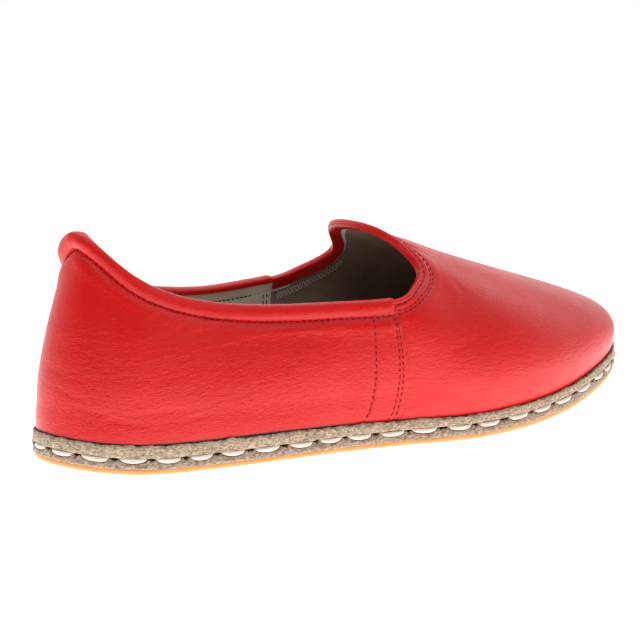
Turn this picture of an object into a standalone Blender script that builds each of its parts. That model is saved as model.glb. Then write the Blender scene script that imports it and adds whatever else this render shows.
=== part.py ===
"""Slip-on shoe for the right foot: stitched sole, hollow leather upper, bound collar and throat.

Metres, +X to the toe, +Y to the inner side of the foot, +Z up. The origin is under the middle of the shoe,
on the floor. The upper is a ring of ribs: each rib climbs from the feather line, where the upper meets the
sole, to the rim of the collar or throat. Every table holds shares of the named sizes above it.
"""

import math
from collections import namedtuple

import bmesh
import bpy
import numpy as np

# Sizes of the last
LENGTH = 0.265
BALL_WIDTH = 0.090
HEEL_WIDTH = 0.064
INSTEP_HEIGHT = 0.0829
COLLAR_HEIGHT = 0.0590
HEEL_TAB_HEIGHT = 0.0885
TOE_SPRING = 0.017
HEEL_SPRING = 0.004

# Layers of the sole, from the floor up
OUTSOLE_THICKNESS = 0.0021
MIDSOLE_LIP = 0.0018
STITCH_GROOVE = 0.0019
STITCH_GROOVE_DEPTH = 0.0014
WELT_HEEL_HEIGHT = 0.0047
WELT_TOE_HEIGHT = 0.0036
WELT_OVERHANG = 0.0010
WELT_BEVEL = 0.0006
INSOLE_THICKNESS = 0.0030

# Upper
UPPER_WALL = 0.0020
FEATHER_INSET = 0.0018
SEAM_LAP = 0.0009
SEAM_LAP_FADE = 0.022

# Bindings: height of the skirt below the rim, padding out from the wall, height over the rim, sewn edge
COLLAR_SKIRT = 0.0048
COLLAR_PAD = 0.0016
COLLAR_CREST = 0.0020
COLLAR_LIP = 0.0007
THROAT_PAD = 0.0008
THROAT_CREST = 0.0010
THROAT_LIP = 0.0006

# Clearance between pieces that touch on the real shoe
GAP = 0.0003

# Where the toe spring starts and the heel spring ends, as shares of LENGTH
TOE_SPRING_START = 0.60
TOE_SPRING_POWER = 1.75
HEEL_SPRING_END = 0.16

# Where the welt falls from its height at the heel to its height at the toe, as shares of LENGTH
WELT_FALL_START = 0.25
WELT_FALL_END = 0.60

# Where the side seams meet the feather line, as shares of LENGTH
OUTER_SEAM = 0.487
INNER_SEAM = 0.468

# A rib bows away from its chord: straight out on the quarter, more forward and up the longer the rib is.
# The plan length that turns it halfway, as a share of LENGTH, and how much of that goes up.
RIB_LEAN = 0.20
RIB_LIFT = 0.60

# Mesh density. The crowding values are 0 for even spacing and 1 for the closest spacing at one end.
# KNOT_POWER spaces a rib's points in its spline: 1 by their distances, 0 evenly.
HALF_COLUMNS = 40
COLUMN_CROWDING = 0.50
WALL_ROWS = 15
ROW_CROWDING = 0.65
SKIRT_ROWS = 3
OUTLINE_STEPS = 4000
SPLINE_STEPS = 40
KNOT_POWER = 0.75
SEAM_SPLIT = 0.0004
TANGENT_STEP = 0.004
SHARP_ANGLE = 40.0

Fold = namedtuple("Fold", "pad crest lip")

# Plan of the sole. along: share of LENGTH. ball: 0 where the width follows HEEL_WIDTH, 1 where it follows
# BALL_WIDTH. outer, inner: half widths as shares of that width.
Plan = namedtuple("Plan", "along ball outer inner")
PLAN = (
    Plan(0.02, 0.00, 0.242, 0.242),
    Plan(0.06, 0.00, 0.378, 0.382),
    Plan(0.12, 0.00, 0.456, 0.456),
    Plan(0.20, 0.00, 0.503, 0.486),
    Plan(0.30, 0.25, 0.487, 0.414),
    Plan(0.40, 0.50, 0.464, 0.358),
    Plan(0.50, 0.75, 0.468, 0.340),
    Plan(0.60, 1.00, 0.497, 0.371),
    Plan(0.68, 1.00, 0.518, 0.437),
    Plan(0.75, 1.00, 0.509, 0.482),
    Plan(0.82, 1.00, 0.462, 0.488),
    Plan(0.89, 1.00, 0.374, 0.437),
    Plan(0.94, 1.00, 0.284, 0.356),
    Plan(0.98, 1.00, 0.150, 0.233),
)
TOE_POINT_INNER = 0.041

# Round top of a folded binding. across: from the outer to the inner edge of the rim. angle: place on the
# round, in degrees, from the outer side over the top.
Crest = namedtuple("Crest", "across angle")
CREST_ARC = (
    Crest(0.0, 12.0),
    Crest(0.3, 55.0),
    Crest(0.5, 90.0),
    Crest(0.7, 125.0),
    Crest(1.0, 168.0),
)

# Rim of the upper and the shape of the rib below it, one row for each rib.
# foot: where the rib starts on the feather line, share of LENGTH. along, out: the rim, shares of LENGTH and
# BALL_WIDTH. tab, throat: how far the rim climbs from COLLAR_HEIGHT to HEEL_TAB_HEIGHT or INSTEP_HEIGHT.
# t and bow: three points of the rib, as shares of the straight line from foot to rim, and their distance
# outwards from it as a share of its length.
Rib = namedtuple("Rib", "foot along out tab throat t1 bow1 t2 bow2 t3 bow3")
HEEL_RIB = Rib(0.000, 0.0550, 0.000, 0.98, 0.00, 0.169, 0.039, 0.368, 0.050, 0.619, 0.036)
OUTER_RIBS = (
    Rib(0.030, 0.0630, 0.100, 0.92, 0.00, 0.180, 0.042, 0.379, 0.054, 0.629, 0.043),
    Rib(0.090, 0.1010, 0.183, 0.55, 0.00, 0.241, 0.058, 0.450, 0.073, 0.699, 0.060),
    Rib(0.200, 0.1950, 0.228, 0.14, 0.00, 0.281, 0.079, 0.509, 0.095, 0.769, 0.069),
    Rib(0.330, 0.3200, 0.295, -0.02, 0.00, 0.290, 0.075, 0.518, 0.091, 0.779, 0.058),
    Rib(0.430, 0.4250, 0.370, -0.04, 0.00, 0.297, 0.068, 0.536, 0.082, 0.788, 0.052),
    Rib(0.487, 0.4930, 0.420, -0.03, 0.00, 0.296, 0.064, 0.546, 0.074, 0.798, 0.050),
    Rib(0.560, 0.5321, 0.407, 0.00, 0.08, 0.249, 0.092, 0.499, 0.121, 0.762, 0.099),
    Rib(0.640, 0.5580, 0.352, 0.00, 0.29, 0.167, 0.117, 0.454, 0.148, 0.757, 0.091),
    Rib(0.740, 0.5533, 0.279, 0.00, 0.60, 0.087, 0.111, 0.327, 0.162, 0.661, 0.094),
    Rib(0.850, 0.5401, 0.210, 0.00, 0.82, 0.045, 0.086, 0.208, 0.128, 0.559, 0.074),
    Rib(0.940, 0.5272, 0.133, 0.00, 0.95, 0.023, 0.067, 0.164, 0.097, 0.520, 0.054),
)
TOE_RIB = Rib(1.000, 0.5184, 0.001, 0.00, 1.00, 0.018, 0.057, 0.135, 0.078, 0.488, 0.044)
INNER_RIBS = (
    Rib(0.030, 0.0630, 0.100, 0.74, 0.00, 0.180, 0.042, 0.379, 0.054, 0.629, 0.043),
    Rib(0.090, 0.1010, 0.183, 0.42, 0.00, 0.241, 0.058, 0.450, 0.073, 0.699, 0.060),
    Rib(0.200, 0.1950, 0.228, 0.14, 0.00, 0.291, 0.082, 0.519, 0.098, 0.779, 0.072),
    Rib(0.330, 0.3200, 0.295, -0.02, 0.00, 0.315, 0.094, 0.565, 0.115, 0.807, 0.072),
    Rib(0.420, 0.4080, 0.365, -0.04, 0.00, 0.317, 0.074, 0.593, 0.100, 0.826, 0.072),
    Rib(0.468, 0.4650, 0.405, -0.03, 0.00, 0.321, 0.071, 0.602, 0.102, 0.836, 0.077),
    Rib(0.560, 0.5203, 0.411, 0.00, 0.05, 0.273, 0.092, 0.515, 0.129, 0.769, 0.107),
    Rib(0.640, 0.5580, 0.350, 0.00, 0.29, 0.183, 0.120, 0.449, 0.153, 0.754, 0.097),
    Rib(0.740, 0.5534, 0.279, 0.00, 0.60, 0.084, 0.113, 0.324, 0.165, 0.659, 0.099),
    Rib(0.850, 0.5401, 0.211, 0.00, 0.83, 0.044, 0.087, 0.207, 0.132, 0.559, 0.078),
    Rib(0.940, 0.5272, 0.134, 0.00, 0.95, 0.023, 0.068, 0.164, 0.100, 0.520, 0.056),
)


def clear_scene():
    for item in list(bpy.data.objects):
        bpy.data.objects.remove(item, do_unlink=True)


def periodic_spline(knots, values, period, at):
    """Smooth closed curve through values at knots, read at the places in at."""
    knots = np.asarray(knots, float)
    values = np.asarray(values, float)
    count = len(knots)
    step = np.diff(np.append(knots, knots[0] + period))
    rise = np.roll(values, -1, axis=0) - values
    slope = rise / step[:, None]
    system = np.zeros((count, count))
    right = np.zeros_like(values)
    for i in range(count):
        before, here = step[i - 1], step[i]
        system[i, i - 1] += here
        system[i, i] += 2.0 * (before + here)
        system[i, (i + 1) % count] += before
        right[i] = 3.0 * (here * slope[i - 1] + before * slope[i])
    tangent = np.linalg.solve(system, right)
    at = (np.asarray(at, float) - knots[0]) % period + knots[0]
    i = np.clip(np.searchsorted(knots, at, side="right") - 1, 0, count - 1)
    j = (i + 1) % count
    h = step[i][:, None]
    t = ((at - knots[i]) / step[i])[:, None]
    return (
        (2 * t**3 - 3 * t**2 + 1) * values[i]
        + (t**3 - 2 * t**2 + t) * h * tangent[i]
        + (3 * t**2 - 2 * t**3) * values[j]
        + (t**3 - t**2) * h * tangent[j]
    )


def natural_spline(points, samples):
    """Smooth open curve through points, as a list of samples along it."""
    points = np.asarray(points, float)
    count = len(points)
    step = np.linalg.norm(np.diff(points, axis=0), axis=1) ** KNOT_POWER
    knots = np.concatenate([[0.0], np.cumsum(step)])
    slope = np.diff(points, axis=0) / step[:, None]
    system = np.zeros((count, count))
    right = np.zeros_like(points)
    system[0, 0], system[0, 1] = 2.0, 1.0
    right[0] = 3.0 * slope[0]
    system[-1, -1], system[-1, -2] = 2.0, 1.0
    right[-1] = 3.0 * slope[-1]
    for i in range(1, count - 1):
        system[i, i - 1] = step[i]
        system[i, i] = 2.0 * (step[i - 1] + step[i])
        system[i, i + 1] = step[i - 1]
        right[i] = 3.0 * (step[i] * slope[i - 1] + step[i - 1] * slope[i])
    tangent = np.linalg.solve(system, right)
    at = np.linspace(0.0, knots[-1], samples)
    i = np.clip(np.searchsorted(knots, at, side="right") - 1, 0, count - 2)
    h = step[i][:, None]
    t = ((at - knots[i]) / step[i])[:, None]
    return (
        (2 * t**3 - 3 * t**2 + 1) * points[i]
        + (t**3 - 2 * t**2 + t) * h * tangent[i]
        + (3 * t**2 - 2 * t**3) * points[i + 1]
        + (t**3 - t**2) * h * tangent[i + 1]
    )


def arc_lengths(points):
    return np.concatenate([[0.0], np.cumsum(np.linalg.norm(np.diff(points, axis=0), axis=1))])


class Outline:
    """Closed plan curve of the sole. Its parameter runs 0 at the heel, 1 at the toe by the outer side, and
    on to 2 at the heel again by the inner side, in equal shares of each side's length."""

    def __init__(self):
        outer = [(row.along * LENGTH, -self.half(row, row.outer)) for row in PLAN]
        inner = [(row.along * LENGTH, self.half(row, row.inner)) for row in reversed(PLAN)]
        toe = (LENGTH, TOE_POINT_INNER * BALL_WIDTH)
        ring = np.array([(0.0, 0.0)] + outer + [toe] + inner)
        knots = arc_lengths(np.vstack([ring, ring[:1]]))
        at = np.linspace(0.0, knots[-1], OUTLINE_STEPS + 1)
        dense = periodic_spline(knots[:-1], ring, knots[-1], at[:-1])
        self.dense = np.vstack([dense, dense[:1]])
        length = arc_lengths(self.dense)
        toe_index = int(np.argmin(np.abs(at - knots[len(outer) + 1])))
        self.share = np.interp(length, [0.0, length[toe_index], length[-1]], [0.0, 1.0, 2.0])
        self.side = 0.5 * length[-1]
        self.toe_index = toe_index

    @staticmethod
    def half(row, share):
        return share * (HEEL_WIDTH + (BALL_WIDTH - HEEL_WIDTH) * row.ball)

    def point(self, u):
        u = np.asarray(u, float) % 2.0
        return np.stack([np.interp(u, self.share, self.dense[:, i]) for i in range(2)], -1)

    def outward(self, u):
        run = self.point(np.asarray(u) + TANGENT_STEP) - self.point(np.asarray(u) - TANGENT_STEP)
        run /= np.linalg.norm(run, axis=-1, keepdims=True)
        return np.stack([run[..., 1], -run[..., 0]], -1)

    def inset(self, u, distance):
        return self.point(u) - self.outward(u) * distance

    def share_at(self, along, inner):
        """Parameter of the place on one side that lies at a share of LENGTH from the heel."""
        if inner:
            part = slice(self.toe_index, None)
            xs, shares = self.dense[part, 0][::-1], self.share[part][::-1]
        else:
            part = slice(0, self.toe_index + 1)
            xs, shares = self.dense[part, 0], self.share[part]
        return float(np.interp(along * LENGTH, np.maximum.accumulate(xs), shares))


def floor_curve(x):
    """Height of the sole's underside above the floor."""
    toe = np.clip((x / LENGTH - TOE_SPRING_START) / (1.0 - TOE_SPRING_START), 0.0, None)
    heel = np.clip(1.0 - x / LENGTH / HEEL_SPRING_END, 0.0, None)
    return TOE_SPRING * toe**TOE_SPRING_POWER + HEEL_SPRING * heel**2


def on_sole(plan, lift):
    """Points at a height above the sole's underside, for points of the plan."""
    plan = np.asarray(plan, float)
    return np.column_stack([plan, floor_curve(plan[:, 0]) + lift])


def on_welt(plan, drop=0.0):
    """Points on the top of the welt, which is higher at the heel than at the forefoot."""
    plan = np.asarray(plan, float)
    share = np.clip((plan[:, 0] / LENGTH - WELT_FALL_START) / (WELT_FALL_END - WELT_FALL_START), 0.0, 1.0)
    share = share**2 * (3.0 - 2.0 * share)
    height = WELT_HEEL_HEIGHT + (WELT_TOE_HEIGHT - WELT_HEEL_HEIGHT) * share
    return on_sole(plan, SEAT + height - drop)


OUTLINE = Outline()
MIDSOLE_BOTTOM = OUTSOLE_THICKNESS + GAP
MIDSOLE_TOP = MIDSOLE_BOTTOM + MIDSOLE_LIP + STITCH_GROOVE
SEAT = MIDSOLE_TOP + GAP
OUTER_SEAM_U = OUTLINE.share_at(OUTER_SEAM, inner=False)
INNER_SEAM_U = OUTLINE.share_at(INNER_SEAM, inner=True)


def even_columns():
    """Places round the outline, closer together at the heel and the toe."""
    t = np.arange(HALF_COLUMNS) / HALF_COLUMNS
    crowded = 0.5 * (1.0 - np.cos(math.pi * t))
    eased = (1.0 - COLUMN_CROWDING) * t + COLUMN_CROWDING * crowded
    return np.concatenate([eased, 1.0 + eased])


def seam_columns():
    """The even columns with a close pair at each side seam in place of the nearest one."""
    columns = even_columns()
    split = 0.5 * SEAM_SPLIT / OUTLINE.side
    for seam in (OUTER_SEAM_U, INNER_SEAM_U):
        columns = np.delete(columns, np.argmin(np.abs(columns - seam)))
        columns = np.append(columns, [seam - split, seam + split])
    return np.sort(columns)


def rib_values(columns):
    """The rib table read at each column: rim point and the three bowed points."""
    rows = [(0.0, HEEL_RIB, -1)]
    rows += [(OUTLINE.share_at(rib.foot, inner=False), rib, -1) for rib in OUTER_RIBS]
    rows += [(1.0, TOE_RIB, 1)]
    rows += [(OUTLINE.share_at(rib.foot, inner=True), rib, 1) for rib in reversed(INNER_RIBS)]
    knots = [u for u, _, _ in rows]
    values = []
    for _, rib, side in rows:
        crest = THROAT_CREST if rib.throat else COLLAR_CREST
        height = COLLAR_HEIGHT - crest - GAP
        height += rib.tab * (HEEL_TAB_HEIGHT - COLLAR_HEIGHT)
        height += rib.throat * (INSTEP_HEIGHT - COLLAR_HEIGHT)
        rim = (rib.along * LENGTH, side * rib.out * BALL_WIDTH, height)
        values.append(rim + (rib.t1, rib.bow1, rib.t2, rib.bow2, rib.t3, rib.bow3))
    return periodic_spline(knots, values, 2.0, columns)


def rib_curves(columns):
    """Dense curve of each rib on the outside of the upper, from the top of the welt to the rim."""
    values = rib_values(columns)
    plan = OUTLINE.inset(columns, FEATHER_INSET)
    starts = on_welt(plan)
    normals = np.column_stack([OUTLINE.outward(columns), np.zeros(len(columns))])
    curves = []
    for start, normal, value in zip(starts, normals, values):
        rim = value[:3]
        chord = rim - start
        length = np.linalg.norm(chord)
        chord /= length
        lean = (start - rim) / (RIB_LEAN * LENGTH)
        lean[2] = RIB_LIFT * math.hypot(lean[0], lean[1])
        towards = normal + lean
        bow = towards - towards.dot(chord) * chord
        bow /= np.linalg.norm(bow)
        points = [start]
        for t, share in value[3:].reshape(3, 2):
            points.append(start + (chord * t + bow * share) * length)
        points.append(rim)
        curves.append(natural_spline(points, SPLINE_STEPS))
    return np.array(curves)


def along_curve(curve, distances):
    length = arc_lengths(curve)
    return np.stack([np.interp(distances, length, curve[:, i]) for i in range(3)], -1)


def wall_rows(curve):
    """Distances of the rows up a rib: close at the turn of the wall, then even, then the binding's rows."""
    total = arc_lengths(curve)[-1]
    t = np.arange(WALL_ROWS) / WALL_ROWS
    lower = (total - COLLAR_SKIRT) * ((1.0 - ROW_CROWDING) * t + ROW_CROWDING * t**2)
    upper = total - COLLAR_SKIRT * np.linspace(1.0, 0.0, SKIRT_ROWS)
    return np.concatenate([lower, upper])


def normals_of(grid):
    """Unit normals of a closed grid of columns and rows, pointing out of the shoe."""
    across = np.roll(grid, -1, axis=0) - np.roll(grid, 1, axis=0)
    up = np.gradient(grid, axis=1)
    normal = np.cross(across, up)
    return normal / np.linalg.norm(normal, axis=-1, keepdims=True)


class Upper:
    """Grids of the upper's outer and inner faces, one column a rib and one row a height."""

    def __init__(self, columns):
        self.columns = columns
        curves = rib_curves(columns)
        self.outer = np.array([along_curve(curve, wall_rows(curve)) for curve in curves])
        self.normal = normals_of(self.outer)
        self.up = self.outer[:, -1] - self.outer[:, -2]
        self.up /= np.linalg.norm(self.up, axis=-1, keepdims=True)
        self.inner = self.outer - self.normal * UPPER_WALL
        foot = OUTLINE.inset(columns, FEATHER_INSET)
        foot_inner = OUTLINE.inset(columns, FEATHER_INSET + UPPER_WALL)
        self.inner[:, 0] = on_welt(foot_inner)
        self.foot_outer = on_sole(foot, SEAT)
        self.foot_inner = on_sole(foot_inner, SEAT)
        self.outer = self.outer + self.normal * self.seam_lap()[:, :, None]

    def seam_lap(self):
        """Height of the quarter's edge over the vamp: it fades back from each seam and ends at the welt."""
        behind = np.maximum(OUTER_SEAM_U - self.columns, self.columns - INNER_SEAM_U)
        share = np.clip(1.0 - behind * OUTLINE.side / SEAM_LAP_FADE, 0.0, 1.0)
        lap = SEAM_LAP * np.where(behind > 0.0, share, 0.0)
        lap = np.repeat(lap[:, None], self.outer.shape[1], axis=1)
        lap[:, 0] = 0.0
        return lap


def make_material(name, color, roughness, metallic=0.0):
    material = bpy.data.materials.new(name)
    material.use_nodes = True
    shader = material.node_tree.nodes["Principled BSDF"]
    shader.inputs["Base Color"].default_value = (*color, 1.0)
    shader.inputs["Roughness"].default_value = roughness
    shader.inputs["Metallic"].default_value = metallic
    return material


def add_piece(name, points, faces, material):
    """One closed object from points and faces, its normals turned outwards."""
    mesh = bpy.data.meshes.new(name)
    mesh.from_pydata([tuple(p) for p in points], [], faces)
    mesh.update()
    work = bmesh.new()
    work.from_mesh(mesh)
    bmesh.ops.recalc_face_normals(work, faces=work.faces)
    work.to_mesh(mesh)
    work.free()
    mesh.shade_smooth()
    mesh.set_sharp_from_angle(angle=math.radians(SHARP_ANGLE))
    mesh.materials.append(material)
    piece = bpy.data.objects.new(name, mesh)
    bpy.context.scene.collection.objects.link(piece)
    return piece


def bridge(a, b, count):
    """Triangles between two closed rings of count points. The diagonals all run the same way, so that two
    surfaces made from one grid stay parallel."""
    faces = []
    for i in range(count):
        j = (i + 1) % count
        faces += [(a + i, a + j, b + j), (a + i, b + j, b + i)]
    return faces


def ring_faces(rings, count):
    """Bridges between consecutive rings, the last ring joined to the first."""
    faces = []
    for r in range(rings):
        faces += bridge(r * count, ((r + 1) % rings) * count, count)
    return faces


def slab(name, rings, material):
    """A layer of the sole: side rings from the underside up, closed below and above by strips across."""
    count = len(rings[0])
    faces = []
    for r in range(len(rings) - 1):
        faces += bridge(r * count, (r + 1) * count, count)
    for base in (0, (len(rings) - 1) * count):
        half = count // 2
        faces.append((base, base + 1, base + count - 1))
        for i in range(1, half - 1):
            faces.append((base + i, base + i + 1, base + count - i - 1, base + count - i))
        faces.append((base + half - 1, base + half, base + half + 1))
    return add_piece(name, np.vstack(rings), faces, material)


def make_outsole(material):
    u = even_columns()
    plan = OUTLINE.point(u)
    return slab("outsole", [on_sole(plan, 0.0), on_sole(plan, OUTSOLE_THICKNESS)], material)


def make_midsole(material):
    """Leather layer whose upper half steps back, so that the stitches lie in a groove under the welt."""
    u = even_columns()
    wide = OUTLINE.inset(u, -WELT_OVERHANG)
    narrow = OUTLINE.inset(u, STITCH_GROOVE_DEPTH - WELT_OVERHANG)
    step = MIDSOLE_BOTTOM + MIDSOLE_LIP
    rings = [
        on_sole(wide, MIDSOLE_BOTTOM),
        on_sole(wide, step),
        on_sole(narrow, step),
        on_sole(narrow, MIDSOLE_TOP),
    ]
    return slab("midsole", rings, material)


def make_welt(material):
    """Strip round the foot of the upper, with its outer corners eased."""
    u = even_columns()
    outer = OUTLINE.inset(u, -WELT_OVERHANG)
    eased = OUTLINE.inset(u, WELT_BEVEL - WELT_OVERHANG)
    inner = OUTLINE.inset(u, FEATHER_INSET - GAP)
    rings = [
        on_sole(inner, SEAT),
        on_sole(eased, SEAT),
        on_sole(outer, SEAT + WELT_BEVEL),
        on_welt(outer, WELT_BEVEL),
        on_welt(eased),
        on_welt(inner),
    ]
    return add_piece("welt", np.vstack(rings), ring_faces(len(rings), len(u)), material)


def make_insole(material):
    u = even_columns()
    plan = OUTLINE.inset(u, FEATHER_INSET + UPPER_WALL + GAP)
    return slab("insole", [on_sole(plan, SEAT), on_sole(plan, SEAT + INSOLE_THICKNESS)], material)


def make_upper(upper, material):
    """The hollow wall: up the outside, over the rim, down the inside and across the foot."""
    rings = [upper.foot_outer]
    rings += [upper.outer[:, r] for r in range(upper.outer.shape[1])]
    rings += [upper.inner[:, r] for r in reversed(range(upper.inner.shape[1]))]
    rings += [upper.foot_inner]
    count = len(upper.columns)
    return add_piece("upper", np.vstack(rings), ring_faces(len(rings), count), material)


def binding_section(upper, i, rows, sizes):
    """Paired points of a folded strip at one column: its face towards the wall, and its outer face."""
    outer, inner, normal, up = upper.outer[i], upper.inner[i], upper.normal[i], upper.up[i]
    swell = sizes.lip + (sizes.pad - sizes.lip) * np.sin(np.linspace(0.0, 0.5 * math.pi, len(rows)))
    below = list(zip(rows, swell))[:-1]
    top_out = outer[-1] + normal[-1] * GAP + up * GAP
    top_in = inner[-1] - normal[-1] * GAP + up * GAP
    middle = 0.5 * (top_out + top_in)
    reach = 0.5 * np.linalg.norm(top_out - top_in) + sizes.pad
    pairs = [(outer[r] + normal[r] * GAP, outer[r] + normal[r] * (GAP + out)) for r, out in below]
    for point in CREST_ARC:
        turn = math.radians(point.angle)
        round_top = middle + normal[-1] * math.cos(turn) * reach + up * math.sin(turn) * sizes.crest
        pairs.append((top_out + (top_in - top_out) * point.across, round_top))
    pairs += [(inner[r] - normal[r] * GAP, inner[r] - normal[r] * (GAP + out)) for r, out in reversed(below)]
    near, far = zip(*pairs)
    return list(near), list(far)


def make_binding(name, upper, columns, rows, sizes, material):
    """A folded strip swept along the rim through the given columns, capped at both ends."""
    sections = [binding_section(upper, i, rows, sizes) for i in columns]
    pairs = len(sections[0][0])
    count = 2 * pairs
    points = [p for near, far in sections for p in near + far[::-1]]
    faces = []
    for s in range(len(sections) - 1):
        faces += bridge(s * count, (s + 1) * count, count)
    for base in (0, (len(sections) - 1) * count):
        for k in range(pairs - 1):
            faces.append((base + k, base + k + 1, base + count - k - 2, base + count - k - 1))
    return add_piece(name, points, faces, material)


def quarter_columns(upper):
    """Column numbers from the inner seam back round the heel to the outer seam."""
    u = upper.columns
    front = [i for i in range(len(u)) if u[i] > INNER_SEAM_U]
    return front + [i for i in range(len(u)) if u[i] < OUTER_SEAM_U]


def throat_columns(upper):
    u = upper.columns
    return [i for i in range(len(u)) if OUTER_SEAM_U < u[i] < INNER_SEAM_U]


def main():
    clear_scene()
    red = make_material("red_leather", (0.70, 0.018, 0.022), 0.42)
    gum = make_material("gum_rubber", (0.80, 0.46, 0.20), 0.55)
    sole_leather = make_material("sole_leather", (0.38, 0.26, 0.18), 0.85)
    welt_leather = make_material("welt_leather", (0.42, 0.29, 0.19), 0.90)
    lining = make_material("insole_leather", (0.52, 0.45, 0.37), 0.70)

    upper = Upper(seam_columns())
    skirt = list(range(-SKIRT_ROWS, 0))
    collar_fold = Fold(COLLAR_PAD, COLLAR_CREST, COLLAR_LIP)
    throat_fold = Fold(THROAT_PAD, THROAT_CREST, THROAT_LIP)
    pieces = [
        make_outsole(gum),
        make_midsole(sole_leather),
        make_welt(welt_leather),
        make_upper(upper, red),
        make_insole(lining),
        make_binding("collar_binding", upper, quarter_columns(upper), skirt, collar_fold, red),
        make_binding("throat_binding", upper, throat_columns(upper), skirt[1:], throat_fold, red),
    ]
    corners = np.vstack([[vertex.co for vertex in piece.data.vertices] for piece in pieces])
    middle = 0.5 * (corners.min(axis=0) + corners.max(axis=0))
    shoe = bpy.data.objects.new("shoe", None)
    bpy.context.scene.collection.objects.link(shoe)
    shoe.location = (-middle[0], -middle[1], -corners[:, 2].min())
    for piece in pieces:
        piece.parent = shoe


main()
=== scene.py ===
"""Looks of the slip-on shoe: its leathers, linings, bindings, seams, stitches, welt and sole edges.

Built in the part's design frame, in metres: x from the back of the heel to the toe, y to the inner side of
the foot, z up from the floor. place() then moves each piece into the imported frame.
"""

import math
from collections import namedtuple

import bpy
import numpy as np
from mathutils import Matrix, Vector, kdtree


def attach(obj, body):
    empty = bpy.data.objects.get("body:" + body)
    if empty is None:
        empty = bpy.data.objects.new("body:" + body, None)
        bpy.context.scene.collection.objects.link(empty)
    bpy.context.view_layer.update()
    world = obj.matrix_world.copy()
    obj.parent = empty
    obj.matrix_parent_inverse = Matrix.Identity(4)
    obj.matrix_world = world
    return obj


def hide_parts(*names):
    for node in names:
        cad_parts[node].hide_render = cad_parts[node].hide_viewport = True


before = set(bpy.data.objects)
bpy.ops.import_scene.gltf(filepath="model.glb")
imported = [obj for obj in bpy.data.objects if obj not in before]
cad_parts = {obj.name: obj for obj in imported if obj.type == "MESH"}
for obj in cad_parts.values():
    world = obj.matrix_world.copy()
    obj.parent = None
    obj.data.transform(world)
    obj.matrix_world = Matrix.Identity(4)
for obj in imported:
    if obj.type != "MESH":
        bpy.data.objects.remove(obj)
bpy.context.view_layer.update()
ORIGIN = np.array([-0.1325, 0.00096548, 0.0])
MM = 0.001

# Sizes of the last
LENGTH = 0.265
BALL_WIDTH = 0.090
HEEL_WIDTH = 0.064
INSTEP_HEIGHT = 0.0829
COLLAR_HEIGHT = 0.0590
HEEL_TAB_HEIGHT = 0.0885
TOE_SPRING = 0.017
HEEL_SPRING = 0.004

# Layers of the sole, from the floor up
OUTSOLE_THICKNESS = 0.0021
MIDSOLE_LIP = 0.0018
STITCH_GROOVE = 0.0019
STITCH_GROOVE_DEPTH = 0.0014
WELT_HEEL_HEIGHT = 0.0047
WELT_TOE_HEIGHT = 0.0036
WELT_OVERHANG = 0.0010
INSOLE_THICKNESS = 0.0030

# Upper
UPPER_WALL = 0.0020
FEATHER_INSET = 0.0018
COLLAR_CREST = 0.0020
THROAT_CREST = 0.0010
GAP = 0.0003

TOE_SPRING_START = 0.60
TOE_SPRING_POWER = 1.75
HEEL_SPRING_END = 0.16
WELT_FALL_START = 0.25
WELT_FALL_END = 0.60
OUTER_SEAM = 0.487
INNER_SEAM = 0.468
RIB_LEAN = 0.20
RIB_LIFT = 0.60
KNOT_POWER = 0.75
OUTLINE_STEPS = 4000
SOLE_STEPS = 1800
INSOLE_STEPS = 600
TANGENT_STEP = 0.004

# Plan of the sole. along: share of LENGTH. ball: 0 where the width follows HEEL_WIDTH, 1 where it follows
# BALL_WIDTH. outer, inner: half widths as shares of that width.
Plan = namedtuple("Plan", "along ball outer inner")
PLAN = [Plan(*row) for row in (
    (0.02, 0, 0.242, 0.242), (0.06, 0, 0.378, 0.382), (0.12, 0, 0.456, 0.456),
    (0.2, 0, 0.503, 0.486), (0.3, 0.25, 0.487, 0.414), (0.4, 0.5, 0.464, 0.358),
    (0.5, 0.75, 0.468, 0.34), (0.6, 1, 0.497, 0.371), (0.68, 1, 0.518, 0.437),
    (0.75, 1, 0.509, 0.482), (0.82, 1, 0.462, 0.488), (0.89, 1, 0.374, 0.437),
    (0.94, 1, 0.284, 0.356), (0.98, 1, 0.15, 0.233),
)]
TOE_POINT_INNER = 0.041

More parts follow.
